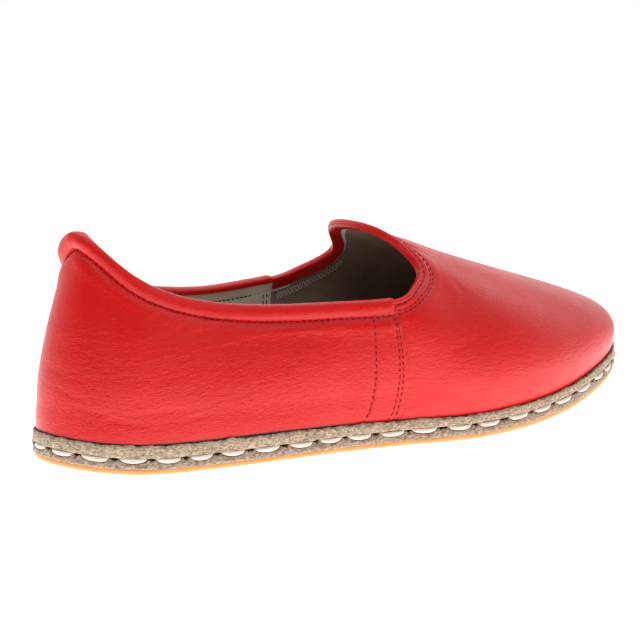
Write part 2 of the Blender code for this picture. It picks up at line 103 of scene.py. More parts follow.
# Ribs of the upper. foot: share of LENGTH where it stands. along, out: its rim, in shares of LENGTH and
# BALL_WIDTH. tab, throat: how far the rim rises to the heel tab and to the instep. t1 to bow3: three points
# of its curve, as shares of the straight line from foot to rim, and how far they bow out from it.
Rib = namedtuple("Rib", "foot along out tab throat t1 bow1 t2 bow2 t3 bow3")
HEEL_RIB = Rib(0.000, 0.0550, 0.000, 0.98, 0.00, 0.169, 0.039, 0.368, 0.050, 0.619, 0.036)
OUTER_RIBS = [Rib(*row) for row in (
    (0.03, 0.063, 0.1, 0.92, 0, 0.18, 0.042, 0.379, 0.054, 0.629, 0.043),
    (0.09, 0.101, 0.183, 0.55, 0, 0.241, 0.058, 0.45, 0.073, 0.699, 0.06),
    (0.2, 0.195, 0.228, 0.14, 0, 0.281, 0.079, 0.509, 0.095, 0.769, 0.069),
    (0.33, 0.32, 0.295, -0.02, 0, 0.29, 0.075, 0.518, 0.091, 0.779, 0.058),
    (0.43, 0.425, 0.37, -0.04, 0, 0.297, 0.068, 0.536, 0.082, 0.788, 0.052),
    (0.487, 0.493, 0.42, -0.03, 0, 0.296, 0.064, 0.546, 0.074, 0.798, 0.05),
    (0.56, 0.5321, 0.407, 0, 0.08, 0.249, 0.092, 0.499, 0.121, 0.762, 0.099),
    (0.64, 0.558, 0.352, 0, 0.29, 0.167, 0.117, 0.454, 0.148, 0.757, 0.091),
    (0.74, 0.5533, 0.279, 0, 0.6, 0.087, 0.111, 0.327, 0.162, 0.661, 0.094),
    (0.85, 0.5401, 0.21, 0, 0.82, 0.045, 0.086, 0.208, 0.128, 0.559, 0.074),
    (0.94, 0.5272, 0.133, 0, 0.95, 0.023, 0.067, 0.164, 0.097, 0.52, 0.054),
)]
TOE_RIB = Rib(1.000, 0.5184, 0.001, 0.00, 1.00, 0.018, 0.057, 0.135, 0.078, 0.488, 0.044)
INNER_RIBS = [Rib(*row) for row in (
    (0.03, 0.063, 0.1, 0.74, 0, 0.18, 0.042, 0.379, 0.054, 0.629, 0.043),
    (0.09, 0.101, 0.183, 0.42, 0, 0.241, 0.058, 0.45, 0.073, 0.699, 0.06),
    (0.2, 0.195, 0.228, 0.14, 0, 0.291, 0.082, 0.519, 0.098, 0.779, 0.072),
    (0.33, 0.32, 0.295, -0.02, 0, 0.315, 0.094, 0.565, 0.115, 0.807, 0.072),
    (0.42, 0.408, 0.365, -0.04, 0, 0.317, 0.074, 0.593, 0.1, 0.826, 0.072),
    (0.468, 0.465, 0.405, -0.03, 0, 0.321, 0.071, 0.602, 0.102, 0.836, 0.077),
    (0.56, 0.5203, 0.411, 0, 0.05, 0.273, 0.092, 0.515, 0.129, 0.769, 0.107),
    (0.64, 0.558, 0.35, 0, 0.29, 0.183, 0.12, 0.449, 0.153, 0.754, 0.097),
    (0.74, 0.5534, 0.279, 0, 0.6, 0.084, 0.113, 0.324, 0.165, 0.659, 0.099),
    (0.85, 0.5401, 0.211, 0, 0.83, 0.044, 0.087, 0.207, 0.132, 0.559, 0.078),
    (0.94, 0.5272, 0.134, 0, 0.95, 0.023, 0.068, 0.164, 0.1, 0.52, 0.056),
)]


def smooth(x, low, high):
    """0 below low, 1 above high, with soft ends."""
    t = np.clip((np.asarray(x, float) - low) / (high - low), 0.0, 1.0)
    return t * t * (3.0 - 2.0 * t)


def bell(x, width):
    """1 at 0, falling softly to nearly 0 at twice the width."""
    return np.exp(-((np.asarray(x, float) / width) ** 2))


def noise(points, size, seed=0):
    """Smooth noise from about -1 to 1 over points, with spots about size across."""
    p = np.asarray(points, float) / size + 37.7 * (seed + 1)
    cell = np.floor(p).astype(np.int64)
    part = p - cell
    part = part * part * (3.0 - 2.0 * part)
    total = np.zeros(p.shape[:-1])
    for corner in np.ndindex(2, 2, 2):
        at = cell + corner
        key = (at[..., 0] * 73856093) ^ (at[..., 1] * 19349663) ^ (at[..., 2] * 83492791)
        key = (key * 2654435761) & 0xFFFFFFFF
        key = ((key ^ (key >> 15)) * 2246822519) & 0xFFFFFFFF
        value = ((key ^ (key >> 13)) & 0xFFFF) / 32767.5 - 1.0
        total += value * np.prod(np.where(corner, part, 1.0 - part), axis=-1)
    return total


def waves(points, *rows):
    """Uneven relief. rows: height, size of the spots, and seed of each layer of noise."""
    return sum(height * noise(points, size, seed) for height, size, seed in rows)


def spline(knots, values, step, at, closed):
    """Smooth curve through values at knots that lie a step apart, read at the places in at."""
    count = len(values)
    slope = (np.roll(values, -1, axis=0) - values)[: len(step)] / step[:, None]
    system = np.zeros((count, count))
    right = np.zeros_like(values)
    for i in range(count) if closed else range(1, count - 1):
        before, here = step[i - 1], step[i]
        system[i, i - 1] += here
        system[i, i] += 2.0 * (before + here)
        system[i, (i + 1) % count] += before
        right[i] = 3.0 * (here * slope[i - 1] + before * slope[i])
    if not closed:
        for end, beside in ((0, 1), (-1, -2)):
            system[end, end], system[end, beside] = 2.0, 1.0
            right[end] = 3.0 * slope[end]
    tangent = np.linalg.solve(system, right)
    i = np.clip(np.searchsorted(knots, at, side="right") - 1, 0, len(step) - 1)
    j = (i + 1) % count
    h = step[i][:, None]
    t = ((at - knots[i]) / step[i])[:, None]
    return (
        (2 * t**3 - 3 * t**2 + 1) * values[i]
        + (t**3 - 2 * t**2 + t) * h * tangent[i]
        + (3 * t**2 - 2 * t**3) * values[j]
        + (t**3 - t**2) * h * tangent[j]
    )


def closed_spline(knots, values, period, at):
    knots, values = np.asarray(knots, float), np.asarray(values, float)
    step = np.diff(np.append(knots, knots[0] + period))
    at = (np.asarray(at, float) - knots[0]) % period + knots[0]
    return spline(knots, values, step, at, True)


def open_spline(points, samples):
    """Smooth curve through points, as a number of samples along it."""
    points = np.asarray(points, float)
    step = np.linalg.norm(np.diff(points, axis=0), axis=1) ** KNOT_POWER
    knots = np.concatenate([[0.0], np.cumsum(step)])
    return spline(knots, points, step, np.linspace(0.0, knots[-1], samples), False)


def arc_lengths(points):
    return np.concatenate([[0.0], np.cumsum(np.linalg.norm(np.diff(points, axis=0), axis=1))])


def read_curve(at, knots, points):
    """Points of a curve at places between its knots."""
    return np.stack([np.interp(at, knots, column) for column in points.T], -1)


class Outline:
    """Closed plan curve of the sole. Its parameter runs 0 at the heel, 1 at the toe by the outer side, and
    on to 2 at the heel again by the inner side, in equal shares of each side's length."""

    def __init__(self):
        outer = [(row.along * LENGTH, -self.half(row, row.outer)) for row in PLAN]
        inner = [(row.along * LENGTH, self.half(row, row.inner)) for row in reversed(PLAN)]
        toe = (LENGTH, TOE_POINT_INNER * BALL_WIDTH)
        ring = np.array([(0.0, 0.0)] + outer + [toe] + inner)
        knots = arc_lengths(np.vstack([ring, ring[:1]]))
        at = np.linspace(0.0, knots[-1], OUTLINE_STEPS + 1)
        dense = closed_spline(knots[:-1], ring, knots[-1], at[:-1])
        self.dense = np.vstack([dense, dense[:1]])
        length = arc_lengths(self.dense)
        toe_index = int(np.argmin(np.abs(at - knots[len(outer) + 1])))
        self.share = np.interp(length, [0.0, length[toe_index], length[-1]], [0.0, 1.0, 2.0])
        self.side = 0.5 * length[-1]
        self.toe_index = toe_index

    @staticmethod
    def half(row, share):
        return share * (HEEL_WIDTH + (BALL_WIDTH - HEEL_WIDTH) * row.ball)

    def point(self, u):
        u = np.asarray(u, float) % 2.0
        return read_curve(u, self.share, self.dense)

    def outward(self, u):
        run = self.point(np.asarray(u) + TANGENT_STEP) - self.point(np.asarray(u) - TANGENT_STEP)
        run /= np.linalg.norm(run, axis=-1, keepdims=True)
        return np.stack([run[..., 1], -run[..., 0]], -1)

    def inset(self, u, distance):
        return self.point(u) - self.outward(u) * distance

    def share_at(self, along, inner):
        """Parameter of the place on one side that lies at a share of LENGTH from the heel."""
        if inner:
            part = slice(self.toe_index, None)
            xs, shares = self.dense[part, 0][::-1], self.share[part][::-1]
        else:
            part = slice(0, self.toe_index + 1)
            xs, shares = self.dense[part, 0], self.share[part]
        return float(np.interp(along * LENGTH, np.maximum.accumulate(xs), shares))


def floor_curve(x):
    """Height of the sole's underside above the floor."""
    toe = np.clip((x / LENGTH - TOE_SPRING_START) / (1.0 - TOE_SPRING_START), 0.0, None)
    heel = np.clip(1.0 - x / LENGTH / HEEL_SPRING_END, 0.0, None)
    return TOE_SPRING * toe**TOE_SPRING_POWER + HEEL_SPRING * heel**2


def on_sole(plan, lift):
    """Points at a height above the sole's underside, for points of the plan."""
    plan = np.asarray(plan, float)
    return np.column_stack([plan, floor_curve(plan[:, 0]) + lift])


def welt_height(plan):
    share = smooth(plan[:, 0] / LENGTH, WELT_FALL_START, WELT_FALL_END)
    return WELT_HEEL_HEIGHT + (WELT_TOE_HEIGHT - WELT_HEEL_HEIGHT) * share


def on_welt(plan, drop=0.0):
    """Points on the top of the welt, which is higher at the heel than at the forefoot."""
    plan = np.asarray(plan, float)
    return on_sole(plan, SEAT + welt_height(plan) - drop)


OUTLINE = Outline()
MIDSOLE_BOTTOM = OUTSOLE_THICKNESS + GAP
MIDSOLE_TOP = MIDSOLE_BOTTOM + MIDSOLE_LIP + STITCH_GROOVE
SEAT = MIDSOLE_TOP + GAP
OUTER_SEAM_U = OUTLINE.share_at(OUTER_SEAM, inner=False)
INNER_SEAM_U = OUTLINE.share_at(INNER_SEAM, inner=True)


def rib_values(columns):
    """The rib table read at each column: rim point and the three bowed points."""
    rows = [(0.0, HEEL_RIB, -1)]
    rows += [(OUTLINE.share_at(rib.foot, inner=False), rib, -1) for rib in OUTER_RIBS]
    rows += [(1.0, TOE_RIB, 1)]
    rows += [(OUTLINE.share_at(rib.foot, inner=True), rib, 1) for rib in reversed(INNER_RIBS)]
    knots = [u for u, _, _ in rows]
    values = []
    for _, rib, side in rows:
        crest = THROAT_CREST if rib.throat else COLLAR_CREST
        height = COLLAR_HEIGHT - crest - GAP
        height += rib.tab * (HEEL_TAB_HEIGHT - COLLAR_HEIGHT)
        height += rib.throat * (INSTEP_HEIGHT - COLLAR_HEIGHT)
        rim = (rib.along * LENGTH, side * rib.out * BALL_WIDTH, height)
        values.append(rim + (rib.t1, rib.bow1, rib.t2, rib.bow2, rib.t3, rib.bow3))
    return closed_spline(knots, values, 2.0, columns)


def rib_curves(columns, samples):
    """Dense curve of each rib on the outside of the upper, from the top of the welt to the rim."""
    values = rib_values(columns)
    starts = on_welt(OUTLINE.inset(columns, FEATHER_INSET))
    normals = np.column_stack([OUTLINE.outward(columns), np.zeros(len(columns))])
    curves = []
    for start, normal, value in zip(starts, normals, values):
        rim = value[:3]
        chord = rim - start
        length = np.linalg.norm(chord)
        chord /= length
        lean = (start - rim) / (RIB_LEAN * LENGTH)
        lean[2] = RIB_LIFT * math.hypot(lean[0], lean[1])
        towards = normal + lean
        bow = towards - towards.dot(chord) * chord
        bow /= np.linalg.norm(bow)
        points = [start]
        for t, share in value[3:].reshape(3, 2):
            points.append(start + (chord * t + bow * share) * length)
        points.append(rim)
        curves.append(open_spline(points, samples))
    return np.array(curves)


def normals_of(grid):
    """Unit normals of a closed grid of columns and rows, pointing out of the shoe."""
    across = np.roll(grid, -1, axis=0) - np.roll(grid, 1, axis=0)
    up = np.gradient(grid, axis=1)
    normal = np.cross(across, up)
    return normal / np.linalg.norm(normal, axis=-1, keepdims=True)


class Rim:
    """A closed curve given as close points, that tells how far other points are from it."""

    def __init__(self, points):
        self.points = np.vstack([points, points[:1]])
        self.tree = kdtree.KDTree(len(self.points))
        for i, point in enumerate(self.points):
            self.tree.insert(point, i)
        self.tree.balance()

    def distance(self, points):
        nearest = np.array([self.tree.find(p)[1] for p in points])
        best = np.full(len(points), np.inf)
        for side in (-1, 0):
            i = np.clip(nearest + side, 0, len(self.points) - 2)
            a = self.points[i]
            run = self.points[i + 1] - a
            t = np.clip(((points - a) * run).sum(-1) / np.maximum((run * run).sum(-1), 1e-18), 0.0, 1.0)
            best = np.minimum(best, np.linalg.norm(points - a - run * t[:, None], axis=-1))
        return best


class Skin:
    """Outer face of the upper, read at any place. u: round the outline, as in Outline. v: up the rib, from 0
    at the top of the welt to 1 at the rim."""

    AROUND = 1400
    UP = 160
    RIB_SAMPLES = 90
    # Distances to the rim are measured down to the first and read down to the second
    MEASURED = 0.022
    READ = 0.021

    def __init__(self):
        grid, total = [], []
        for curve in rib_curves(np.arange(self.AROUND) * 2.0 / self.AROUND, self.RIB_SAMPLES):
            length = arc_lengths(curve)
            grid.append(read_curve(np.linspace(0.0, length[-1], self.UP + 1), length, curve))
            total.append(length[-1])
        self.grid = np.array(grid)
        self.total = np.array(total)
        self.normal = normals_of(self.grid)
        self.rim = Rim(self.grid[:, -1])
        share = np.linspace(0.0, 1.0, self.UP + 1)
        self.below = np.full(self.grid.shape[:2], 1.0)
        near = (1.0 - share)[None, :] * self.total[:, None] < self.MEASURED
        self.below[near] = self.rim.distance(self.grid[near])
        self.below[:, -1] = 0.0

    def read(self, field, u, v):
        u, v = np.broadcast_arrays(np.asarray(u, float), np.asarray(v, float))
        a = (u % 2.0) * (0.5 * self.AROUND)
        i = np.floor(a).astype(int)
        fa = a - i
        b = np.clip(v, 0.0, 1.0) * self.UP
        j = np.minimum(np.floor(b).astype(int), self.UP - 1)
        fb = b - j
        i0, i1 = i % self.AROUND, (i + 1) % self.AROUND
        if field.ndim == 3:
            fa, fb = fa[..., None], fb[..., None]
        low = field[i0, j] * (1.0 - fa) + field[i1, j] * fa
        high = field[i0, j + 1] * (1.0 - fa) + field[i1, j + 1] * fa
        return low * (1.0 - fb) + high * fb

    def point(self, u, v):
        return self.read(self.grid, u, v)

    def out(self, u, v):
        normal = self.read(self.normal, u, v)
        return normal / np.linalg.norm(normal, axis=-1, keepdims=True)

    def height(self, u):
        """Length of the rib at u."""
        a = (np.asarray(u, float) % 2.0) * (0.5 * self.AROUND)
        return np.interp(a, np.arange(self.AROUND + 1), np.append(self.total, self.total[0]))

    def under_rim(self, u, distance):
        """v of the place on each rib that lies at a distance below the rim."""
        u = np.atleast_1d(np.asarray(u, float))
        distance = np.broadcast_to(np.asarray(distance, float), u.shape)
        v = np.linspace(1.0, 0.0, self.UP + 1)
        found = []
        for one, want in zip(u, distance):
            below = self.read(self.below, np.full(v.shape, one), v)
            far = int(np.argmax(below > self.READ)) or len(below)
            rising = np.maximum.accumulate(below[:far])
            found.append(np.interp(want, rising, v[:far]))
        return np.array(found)


SKIN = Skin()

# Bindings, seams and stitches of the upper, in metres
COLLAR_FOOT = 0.0048
COLLAR_TAB_FOOT = 0.0050
COLLAR_TAB_REACH = 0.034
COLLAR_WAIST = 0.0008
COLLAR_PAD = 0.0016
COLLAR_TAB_PAD = 0.0033
COLLAR_INNER_FOOT = 0.0009
THROAT_FOOT = 0.0013
THROAT_PAD = 0.0008
THROAT_INNER_FOOT = 0.0046
THROAT_END_INNER_FOOT = 0.0028
PALE_EDGE = 0.00055
SEAM_LAP = 0.0009
LEATHER = 0.0012
FOOT_SWELL = 0.0012
CREVICE = 0.00050
FEATHER_ROWS = 2
LINING = 0.0007
SEAM_REACH = 0.14
CREASE_FAN = 0.45
CREASE_ARC = 0.06
STITCH_PITCH = 0.00245
THREAD = 0.00018
ZIGZAG_PITCH = 0.0030
ZIGZAG_WIDTH = 0.0030
# Side seams: how far each line runs ahead of the seam's rib, in mm round the outline, at heights v up it.
# edge: raw front edge of the quarter. near, far: the two rows behind it. rear: the row at the strap's back.
SeamLine = namedtuple("SeamLine", "v edge near far rear")
SEAM_LINES = [SeamLine(*row) for row in (
    (0, 2.7, 1.2, -1, -11.8), (0.1, 4.4, 2.8, 0.9, -9.3),
    (0.22, 5.6, 3.9, 2.1, -7.9), (0.4, 6.1, 4.1, 2.5, -7.3),
    (0.6, 5, 3.2, 1.7, -7.4), (0.8, 3, 1.4, 0.3, -7.6),
    (0.9, 1.4, 0.1, -0.8, -7.7), (1, 0.3, -0.9, -1.7, -7.8),
)]
SEAM_FAN = 0.07
SEAM_ROWS = ("near", "far", "rear")
THROAT_ROWS = (0.0019, 0.0046, 0.0058)
THROAT_RIDGE = 0.0030
THROAT_END_PULL = 0.0010
# The throat's inner corner is drawn out a little, as the soft leather there hangs over
CORNER = np.array([0.1424, 0.0177, 0.0783])
CORNER_DRAW = np.array([-0.0017, 0.0012, -0.0003])
CORNER_REACH = 0.011


def seam_u(v, outer, line="edge"):
    """Where a line of the side seam runs, for heights v up the rib."""
    ahead = np.interp(v, [row.v for row in SEAM_LINES], [getattr(row, line) for row in SEAM_LINES])
    ahead = ahead * MM / OUTLINE.side
    return OUTER_SEAM_U + ahead if outer else INNER_SEAM_U - ahead


def seam_ahead(v, outer):
    """How far a seam's raw edge runs from the seam's rib, as a share of a side."""
    return seam_u(v, outer) - (OUTER_SEAM_U if outer else INNER_SEAM_U)


def behind_seam(u, v, line="edge"):
    """Distance back from a line of the nearer seam. Behind the raw edge it is above 0 on the quarter."""
    u = np.asarray(u, float) % 2.0
    back = np.where(u < 1.0, seam_u(v, True, line) - u, u - seam_u(v, False, line))
    return back * OUTLINE.side * (1.0 - SEAM_FAN * np.asarray(v))


def from_heel(u):
    """Distance round the outline from the back of the heel, in shares of a side."""
    return np.abs((np.asarray(u, float) + 1.0) % 2.0 - 1.0)


def collar_foot(u):
    """Distance from the rim to the collar's sewn line. The binding is wider round the heel tab."""
    wide = (COLLAR_TAB_FOOT - COLLAR_FOOT) * bell(from_heel(u), COLLAR_TAB_REACH)
    return COLLAR_FOOT + wide - COLLAR_WAIST * bell(from_heel(u) - 0.085, 0.040)


def throat_pull(u):
    """How much closer to the rim the throat's sewn rows run beside the seams than round the instep."""
    u = np.asarray(u, float) % 2.0
    away = np.minimum(u - OUTER_SEAM_U, INNER_SEAM_U - u)
    return THROAT_END_PULL * (1.0 - smooth(away, 0.03, 0.13))


# Creases of the leather. u, up: middle of the crease, round the outline and up from the welt in mm. turn:
# its direction, 0 along the shoe and 90 up the rib, in degrees. long, wide, deep: mm. Below 0 is a ridge.
Crease = namedtuple("Crease", "u up turn long wide deep")
QUARTER_CREASES = [Crease(*row) for row in (
    (0.26, 41, 6, 22, 2.2, 0.3), (0.27, 36.5, 8, 17, 2.4, -0.22), (0.33, 40, 2, 18, 2, 0.26),
    (0.38, 38, -4, 14, 2.6, -0.2), (0.22, 44, 24, 12, 2.2, 0.26), (0.17, 50, 34, 12, 2.4, -0.2),
    (0.08, 11, -10, 16, 2, 0.24), (0.11, 8, -4, 15, 1.8, 0.22), (0.05, 16, -14, 12, 2.2, 0.2),
    (0.16, 12, 3, 18, 2.2, 0.18), (0.21, 9, 5, 14, 1.8, 0.16), (0.02, 24, -6, 14, 3, 0.16),
    (1.72, 41, -6, 20, 2.4, 0.28), (1.78, 44, -20, 12, 2.2, 0.24), (1.66, 38, 3, 16, 2.4, -0.22),
    (1.9, 12, 8, 15, 2.2, 0.2), (1.84, 9, 2, 14, 2, 0.18),
)]
VAMP_CREASES = [Crease(*row) for row in (
    (0.8, 108, 74, 13, 2.3, 0.42), (0.86, 112, 82, 14, 2.4, 0.45), (0.83, 104, 78, 15, 2.6, -0.34),
    (1, 117, 90, 14, 2.6, 0.34), (0.94, 116, 88, 15, 2.6, -0.3), (1.14, 108, 98, 13, 2.4, 0.4),
    (1.2, 102, 104, 13, 2.4, -0.3), (0.7, 62, 60, 16, 3.4, 0.26), (0.64, 50, 48, 15, 3.2, -0.2),
    (1.3, 66, 118, 16, 3.4, 0.26), (1.36, 52, 128, 15, 3.2, -0.2), (0.6, 30, 20, 18, 3, 0.16),
    (1.4, 30, 160, 18, 3, 0.16),
)]

# Soft relief beside a sewn line, in metres. at: distance past the line. rise: height there. wide: its spread.
Relief = namedtuple("Relief", "at rise wide")
COLLAR_RELIEF = (Relief(0.0036, 0.00050, 0.0026), Relief(0.0, -0.00055, 0.0008))
COLLAR_PUCKER = Relief(0.0010, 0.00012, 0.0014)
THROAT_RELIEF = (
    Relief(THROAT_ROWS[0], -0.00030, 0.0006),
    Relief(THROAT_RIDGE, 0.00030, 0.0007),
    Relief(THROAT_ROWS[1], -0.00020, 0.00045),
    Relief(THROAT_ROWS[2], -0.00020, 0.00045),
    Relief(THROAT_ROWS[2] + 0.0025, 0.00022, 0.0018),
)
SEAM_GROOVE = Relief(0.0, -0.00022, 0.00050)
EDGE_ROUND = Relief(0.0, -0.00022, 0.00035)
VAMP_DIP = Relief(-0.0012, -0.00018, 0.0014)


def relief(row, distance):
    return row.rise * bell(distance - row.at, row.wide)


def below_rim(u, v):
    """Distance from the rim to places of the skin, or 1 where they are far from it."""
    below = SKIN.read(SKIN.below, u, v)
    return np.where(below > 0.020, 1.0, below)


def creases(table, u, v, total):
    """How far the creases of a table sink the surface at places u, v of ribs with that total length."""
    sunk = np.zeros(np.shape(u))
    height = v * total
    for row in table:
        aside = ((u - row.u + 1.0) % 2.0 - 1.0) * OUTLINE.side * (1.0 - CREASE_FAN * v)
        above = height - row.up * MM
        turn = math.radians(row.turn)
        along = aside * math.cos(turn) + above * math.sin(turn)
        across = -aside * math.sin(turn) + above * math.cos(turn)
        across = across + CREASE_ARC * along * along / (row.long * MM)
        shape = bell(along, 0.5 * row.long * MM) * bell(across, 0.5 * row.wide * MM)
        sunk += row.deep * MM * shape
    return sunk


def leather_shape(u, v):
    """How far the quarter and vamp stand out from the plain skin: creases, soft swells and sewn grooves."""
    points = SKIN.point(u, v)
    total = SKIN.height(u)
    far = below_rim(u, v)
    back = behind_seam(u, v)
    quarter = back > 0.0
    fade = smooth(v * total, 0.0005, 0.006)
    out = FOOT_SWELL * (1.0 - smooth(v * total, 0.0, 0.012)) + fade * 0.00016 * noise(points, 0.024, 1)
    out += fade * 0.00005 * noise(points * (0.6, 0.6, 1.5), 0.006, 2)
    sunk = [creases(table, u, v, total) for table in (QUARTER_CREASES, VAMP_CREASES)]
    out -= fade * np.where(quarter, *sunk)
    # Collar: the leather swells under the sewn line, dips at each stitch, and puckers a little
    under = far - collar_foot(u)
    ripple = np.sin(2.0 * math.pi * u * OUTLINE.side / STITCH_PITCH)
    collar = sum(relief(row, under) for row in COLLAR_RELIEF) + relief(COLLAR_PUCKER, under) * ripple
    # Throat: a narrow band with a ridge, between sewn rows
    far = far + throat_pull(u)
    band = 0.00030 * smooth(THROAT_ROWS[2] - far, 0.0, 0.0014)
    band += sum(relief(row, far) for row in THROAT_RELIEF)
    # Side seams: the quarter lies over the vamp, and its two layers end at the rear row
    lap = 0.62 + 0.38 * smooth(behind_seam(u, v, "rear"), 0.0006, -0.0008)
    lap *= smooth(0.024 - back, 0.0, 0.008)
    grooves = sum(relief(SEAM_GROOVE, behind_seam(u, v, line)) for line in SEAM_ROWS)
    # The raw edge is slightly rounded, and the vamp's leather is drawn down just ahead of it
    collar += (SEAM_LAP * lap + grooves) * smooth(v, 0.0, 0.05) + relief(EDGE_ROUND, back)
    return out + np.where(quarter, collar, band + relief(VAMP_DIP, back))


def place(points):
    """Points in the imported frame, with the throat's inner corner drawn out."""
    points = np.asarray(points, float).reshape(-1, 3)
    near = bell(np.linalg.norm(points - CORNER, axis=-1), CORNER_REACH)
    return points + CORNER_DRAW * near[:, None] + ORIGIN


def add(name, points, faces, materials, replaces, slots=None, sharp=None):
    """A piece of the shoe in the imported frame, riding its one body."""
    mesh = bpy.data.meshes.new(name)
    mesh.from_pydata(place(points).tolist(), [], [list(map(int, face)) for face in faces])
    for material in materials:
        mesh.materials.append(material)
    if slots is not None:
        mesh.polygons.foreach_set("material_index", np.asarray(slots, np.int32))
    mesh.update()
    mesh.shade_smooth()
    if sharp is not None:
        mesh.set_sharp_from_angle(angle=math.radians(sharp))
    piece = bpy.data.objects.new(name, mesh)
    bpy.context.scene.collection.objects.link(piece)
    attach(piece, "root")
    for node in replaces:
        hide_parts(node)
    return piece


def grid_quads(columns, rows, base=0, flip=False):
    """Quads of a grid whose point (c, r) has number base + c * rows + r."""
    c, r = np.meshgrid(np.arange(columns - 1), np.arange(rows - 1), indexing="ij")
    corner = (base + c * rows + r).ravel()
    quads = np.stack([corner, corner + rows, corner + rows + 1, corner + 1], -1)
    return quads[:, ::-1] if flip else quads


def ring_quads(count, size, closed=False, inward=False):
    """Quads between the rings of a sweep, which have size points each. closed: the last joins the first."""
    quads = []
    for r in range(count if closed else count - 1):
        a, b = r * size, (r + 1) % count * size
        for i in range(size):
            j = (i + 1) % size
            quads.append([a + i, a + j, b + j, b + i] if inward else [a + i, b + i, b + j, a + j])
    return quads


def sheet(front, back, every):
    """Points, faces and kinds of a sheet with a front grid and a back grid that has every nth row. A kind is
    0 on the front, 1 on the back and 2 on the cut edges."""
    columns, rows = front.shape[:2]
    picked = list(range(0, rows - 1, every)) + [rows - 1]
    few = len(picked)
    base = columns * rows
    points = np.vstack([front.reshape(-1, 3), back[:, picked].reshape(-1, 3)])
    front_faces = grid_quads(columns, rows).tolist()
    back_faces = grid_quads(columns, few, base, flip=True).tolist()
    edges = []
    for c in range(columns - 1):
        f0, f1 = c * rows, (c + 1) * rows
        b0, b1 = base + c * few, base + (c + 1) * few
        edges.append([b0, b1, f1, f0])
        edges.append([f0 + rows - 1, f1 + rows - 1, b1 + few - 1, b0 + few - 1])
    for c, turned in ((0, False), (columns - 1, True)):
        for k in range(few - 1):
            face = [c * rows + r for r in range(picked[k], picked[k + 1] + 1)]
            face += [base + c * few + k + 1, base + c * few + k]
            edges.append(face[::-1] if turned else face)
    kinds = np.repeat([0, 1, 2], [len(front_faces), len(back_faces), len(edges)])
    return points, front_faces + back_faces + edges, kinds


def crowd(count, low, high, ends, share):
    """count places from low to high. A share of them is spread over a length at each end."""
    t = np.linspace(0.0, 1.0, count)
    span = high - low
    cut = ends / span
    return low + span * np.interp(t, [0.0, share, 1.0 - share, 1.0], [0.0, cut, 1.0 - cut, 1.0])


def rows_up(total, coarse, fine, near):
    """Shares v of a rib's rows: coarse ones, and fine ones over the last distance below the rim."""
    cut = 1.0 - near / total
    return np.concatenate([np.linspace(0.0, cut, coarse, endpoint=False), np.linspace(cut, 1.0, fine)])


def skin_points(u, v, out):
    """Points at a distance out from the plain skin."""
    return SKIN.point(u, v) + SKIN.out(u, v) * np.asarray(out)[..., None]


def leather_grid(columns, rows, outer_first):
    """Places (u, v) of a leather's grid from one seam to the other. rows: how many are coarse and how many
    fine, and how far down from the rim the fine ones go. outer_first: whether it starts at the outer seam."""
    low, high = columns[0], columns[-1]
    u, v = [], []
    for at in columns:
        total = float(SKIN.height(at))
        up = rows_up(total, *rows)
        up[1] = CREVICE / total
        first = (1.0 - smooth(at, low, low + SEAM_REACH)) * seam_ahead(up, outer_first)
        last = smooth(at, high - SEAM_REACH, high) * seam_ahead(up, not outer_first)
        u.append(at + first + last)
        v.append(up)
    return np.array(u), np.array(v)


def make_leather(name, u, v, out, back_out, materials, cut):
    """A leather of the upper. Its third material is painted shade, on its lowest rows in the crevice over the
    welt. cut: that of its edges.
    """
    faces = []
    for rise, depth in ((out, 0.0), (back_out, LEATHER)):
        grid = skin_points(u, v, rise)
        seat = on_sole(OUTLINE.inset(u[:, 0], FEATHER_INSET + depth), SEAT)
        # Rows under the top of the welt, straight down to the seat
        for share in (0.5, 1.0):
            low = seat * share + grid[:, 0] * (1.0 - share)
            grid = np.concatenate([low[:, None], grid], axis=1)
        faces.append(grid)
    points, quads, kinds = sheet(*faces, 3)
    slots = np.where(kinds == 2, cut, 0)
    front = np.flatnonzero(kinds == 0)
    # Painted shade on the rows under the top of the welt and in the crevice just above it
    slots[front[front % (faces[0].shape[1] - 1) <= FEATHER_ROWS]] = 2
    add(name, points, quads, materials, ["upper"], slots, sharp=42)


def make_quarter(materials):
    columns = crowd(420, INNER_SEAM_U - 2.0, OUTER_SEAM_U, ends=0.016 / OUTLINE.side, share=0.14)
    u, v = leather_grid(columns, rows=(62, 26, 0.011), outer_first=False)
    out = leather_shape(u, v)
    # Towards the raw edge the leather lies on the vamp
    near_edge = 1.0 - smooth(behind_seam(u, v), 0.0010, 0.0030)
    back_out = (np.minimum(out, 0.0003) - LEATHER) * (1.0 - near_edge) + 0.00006 * near_edge
    make_leather("quarter", u, v, out, back_out, materials, 1)


def make_vamp(materials):
    hidden = 0.0010 / OUTLINE.side
    low, high = OUTER_SEAM_U - hidden, INNER_SEAM_U + hidden
    columns = crowd(460, low, high, ends=0.012 / OUTLINE.side, share=0.08)
    u, v = leather_grid(columns, rows=(92, 34, 0.0125), outer_first=True)
    out = np.where(behind_seam(u, v) > -0.0002, -0.00012, leather_shape(u, v))
    make_leather("vamp", u, v, out, np.full(u.shape, -LEATHER), materials, 0)


def make_lining(name, u, v, front_out, back_out, material):
    """A lining inside the upper. Its front faces the foot."""
    front, back = skin_points(u, v, front_out), skin_points(u, v, back_out)
    foot = OUTLINE.inset(u[:, 0], FEATHER_INSET + UPPER_WALL)
    deep = OUTLINE.inset(u[:, 0], FEATHER_INSET + UPPER_WALL - LINING)
    front = np.concatenate([on_sole(foot, SEAT)[:, None], on_welt(foot)[:, None], front[:, 1:]], axis=1)
    back = np.concatenate([on_sole(deep, SEAT)[:, None], on_welt(deep)[:, None], back[:, 1:]], axis=1)
    points, faces, _ = sheet(back, front, 1)
    return add(name, points, faces, [material], ["upper"], sharp=42)


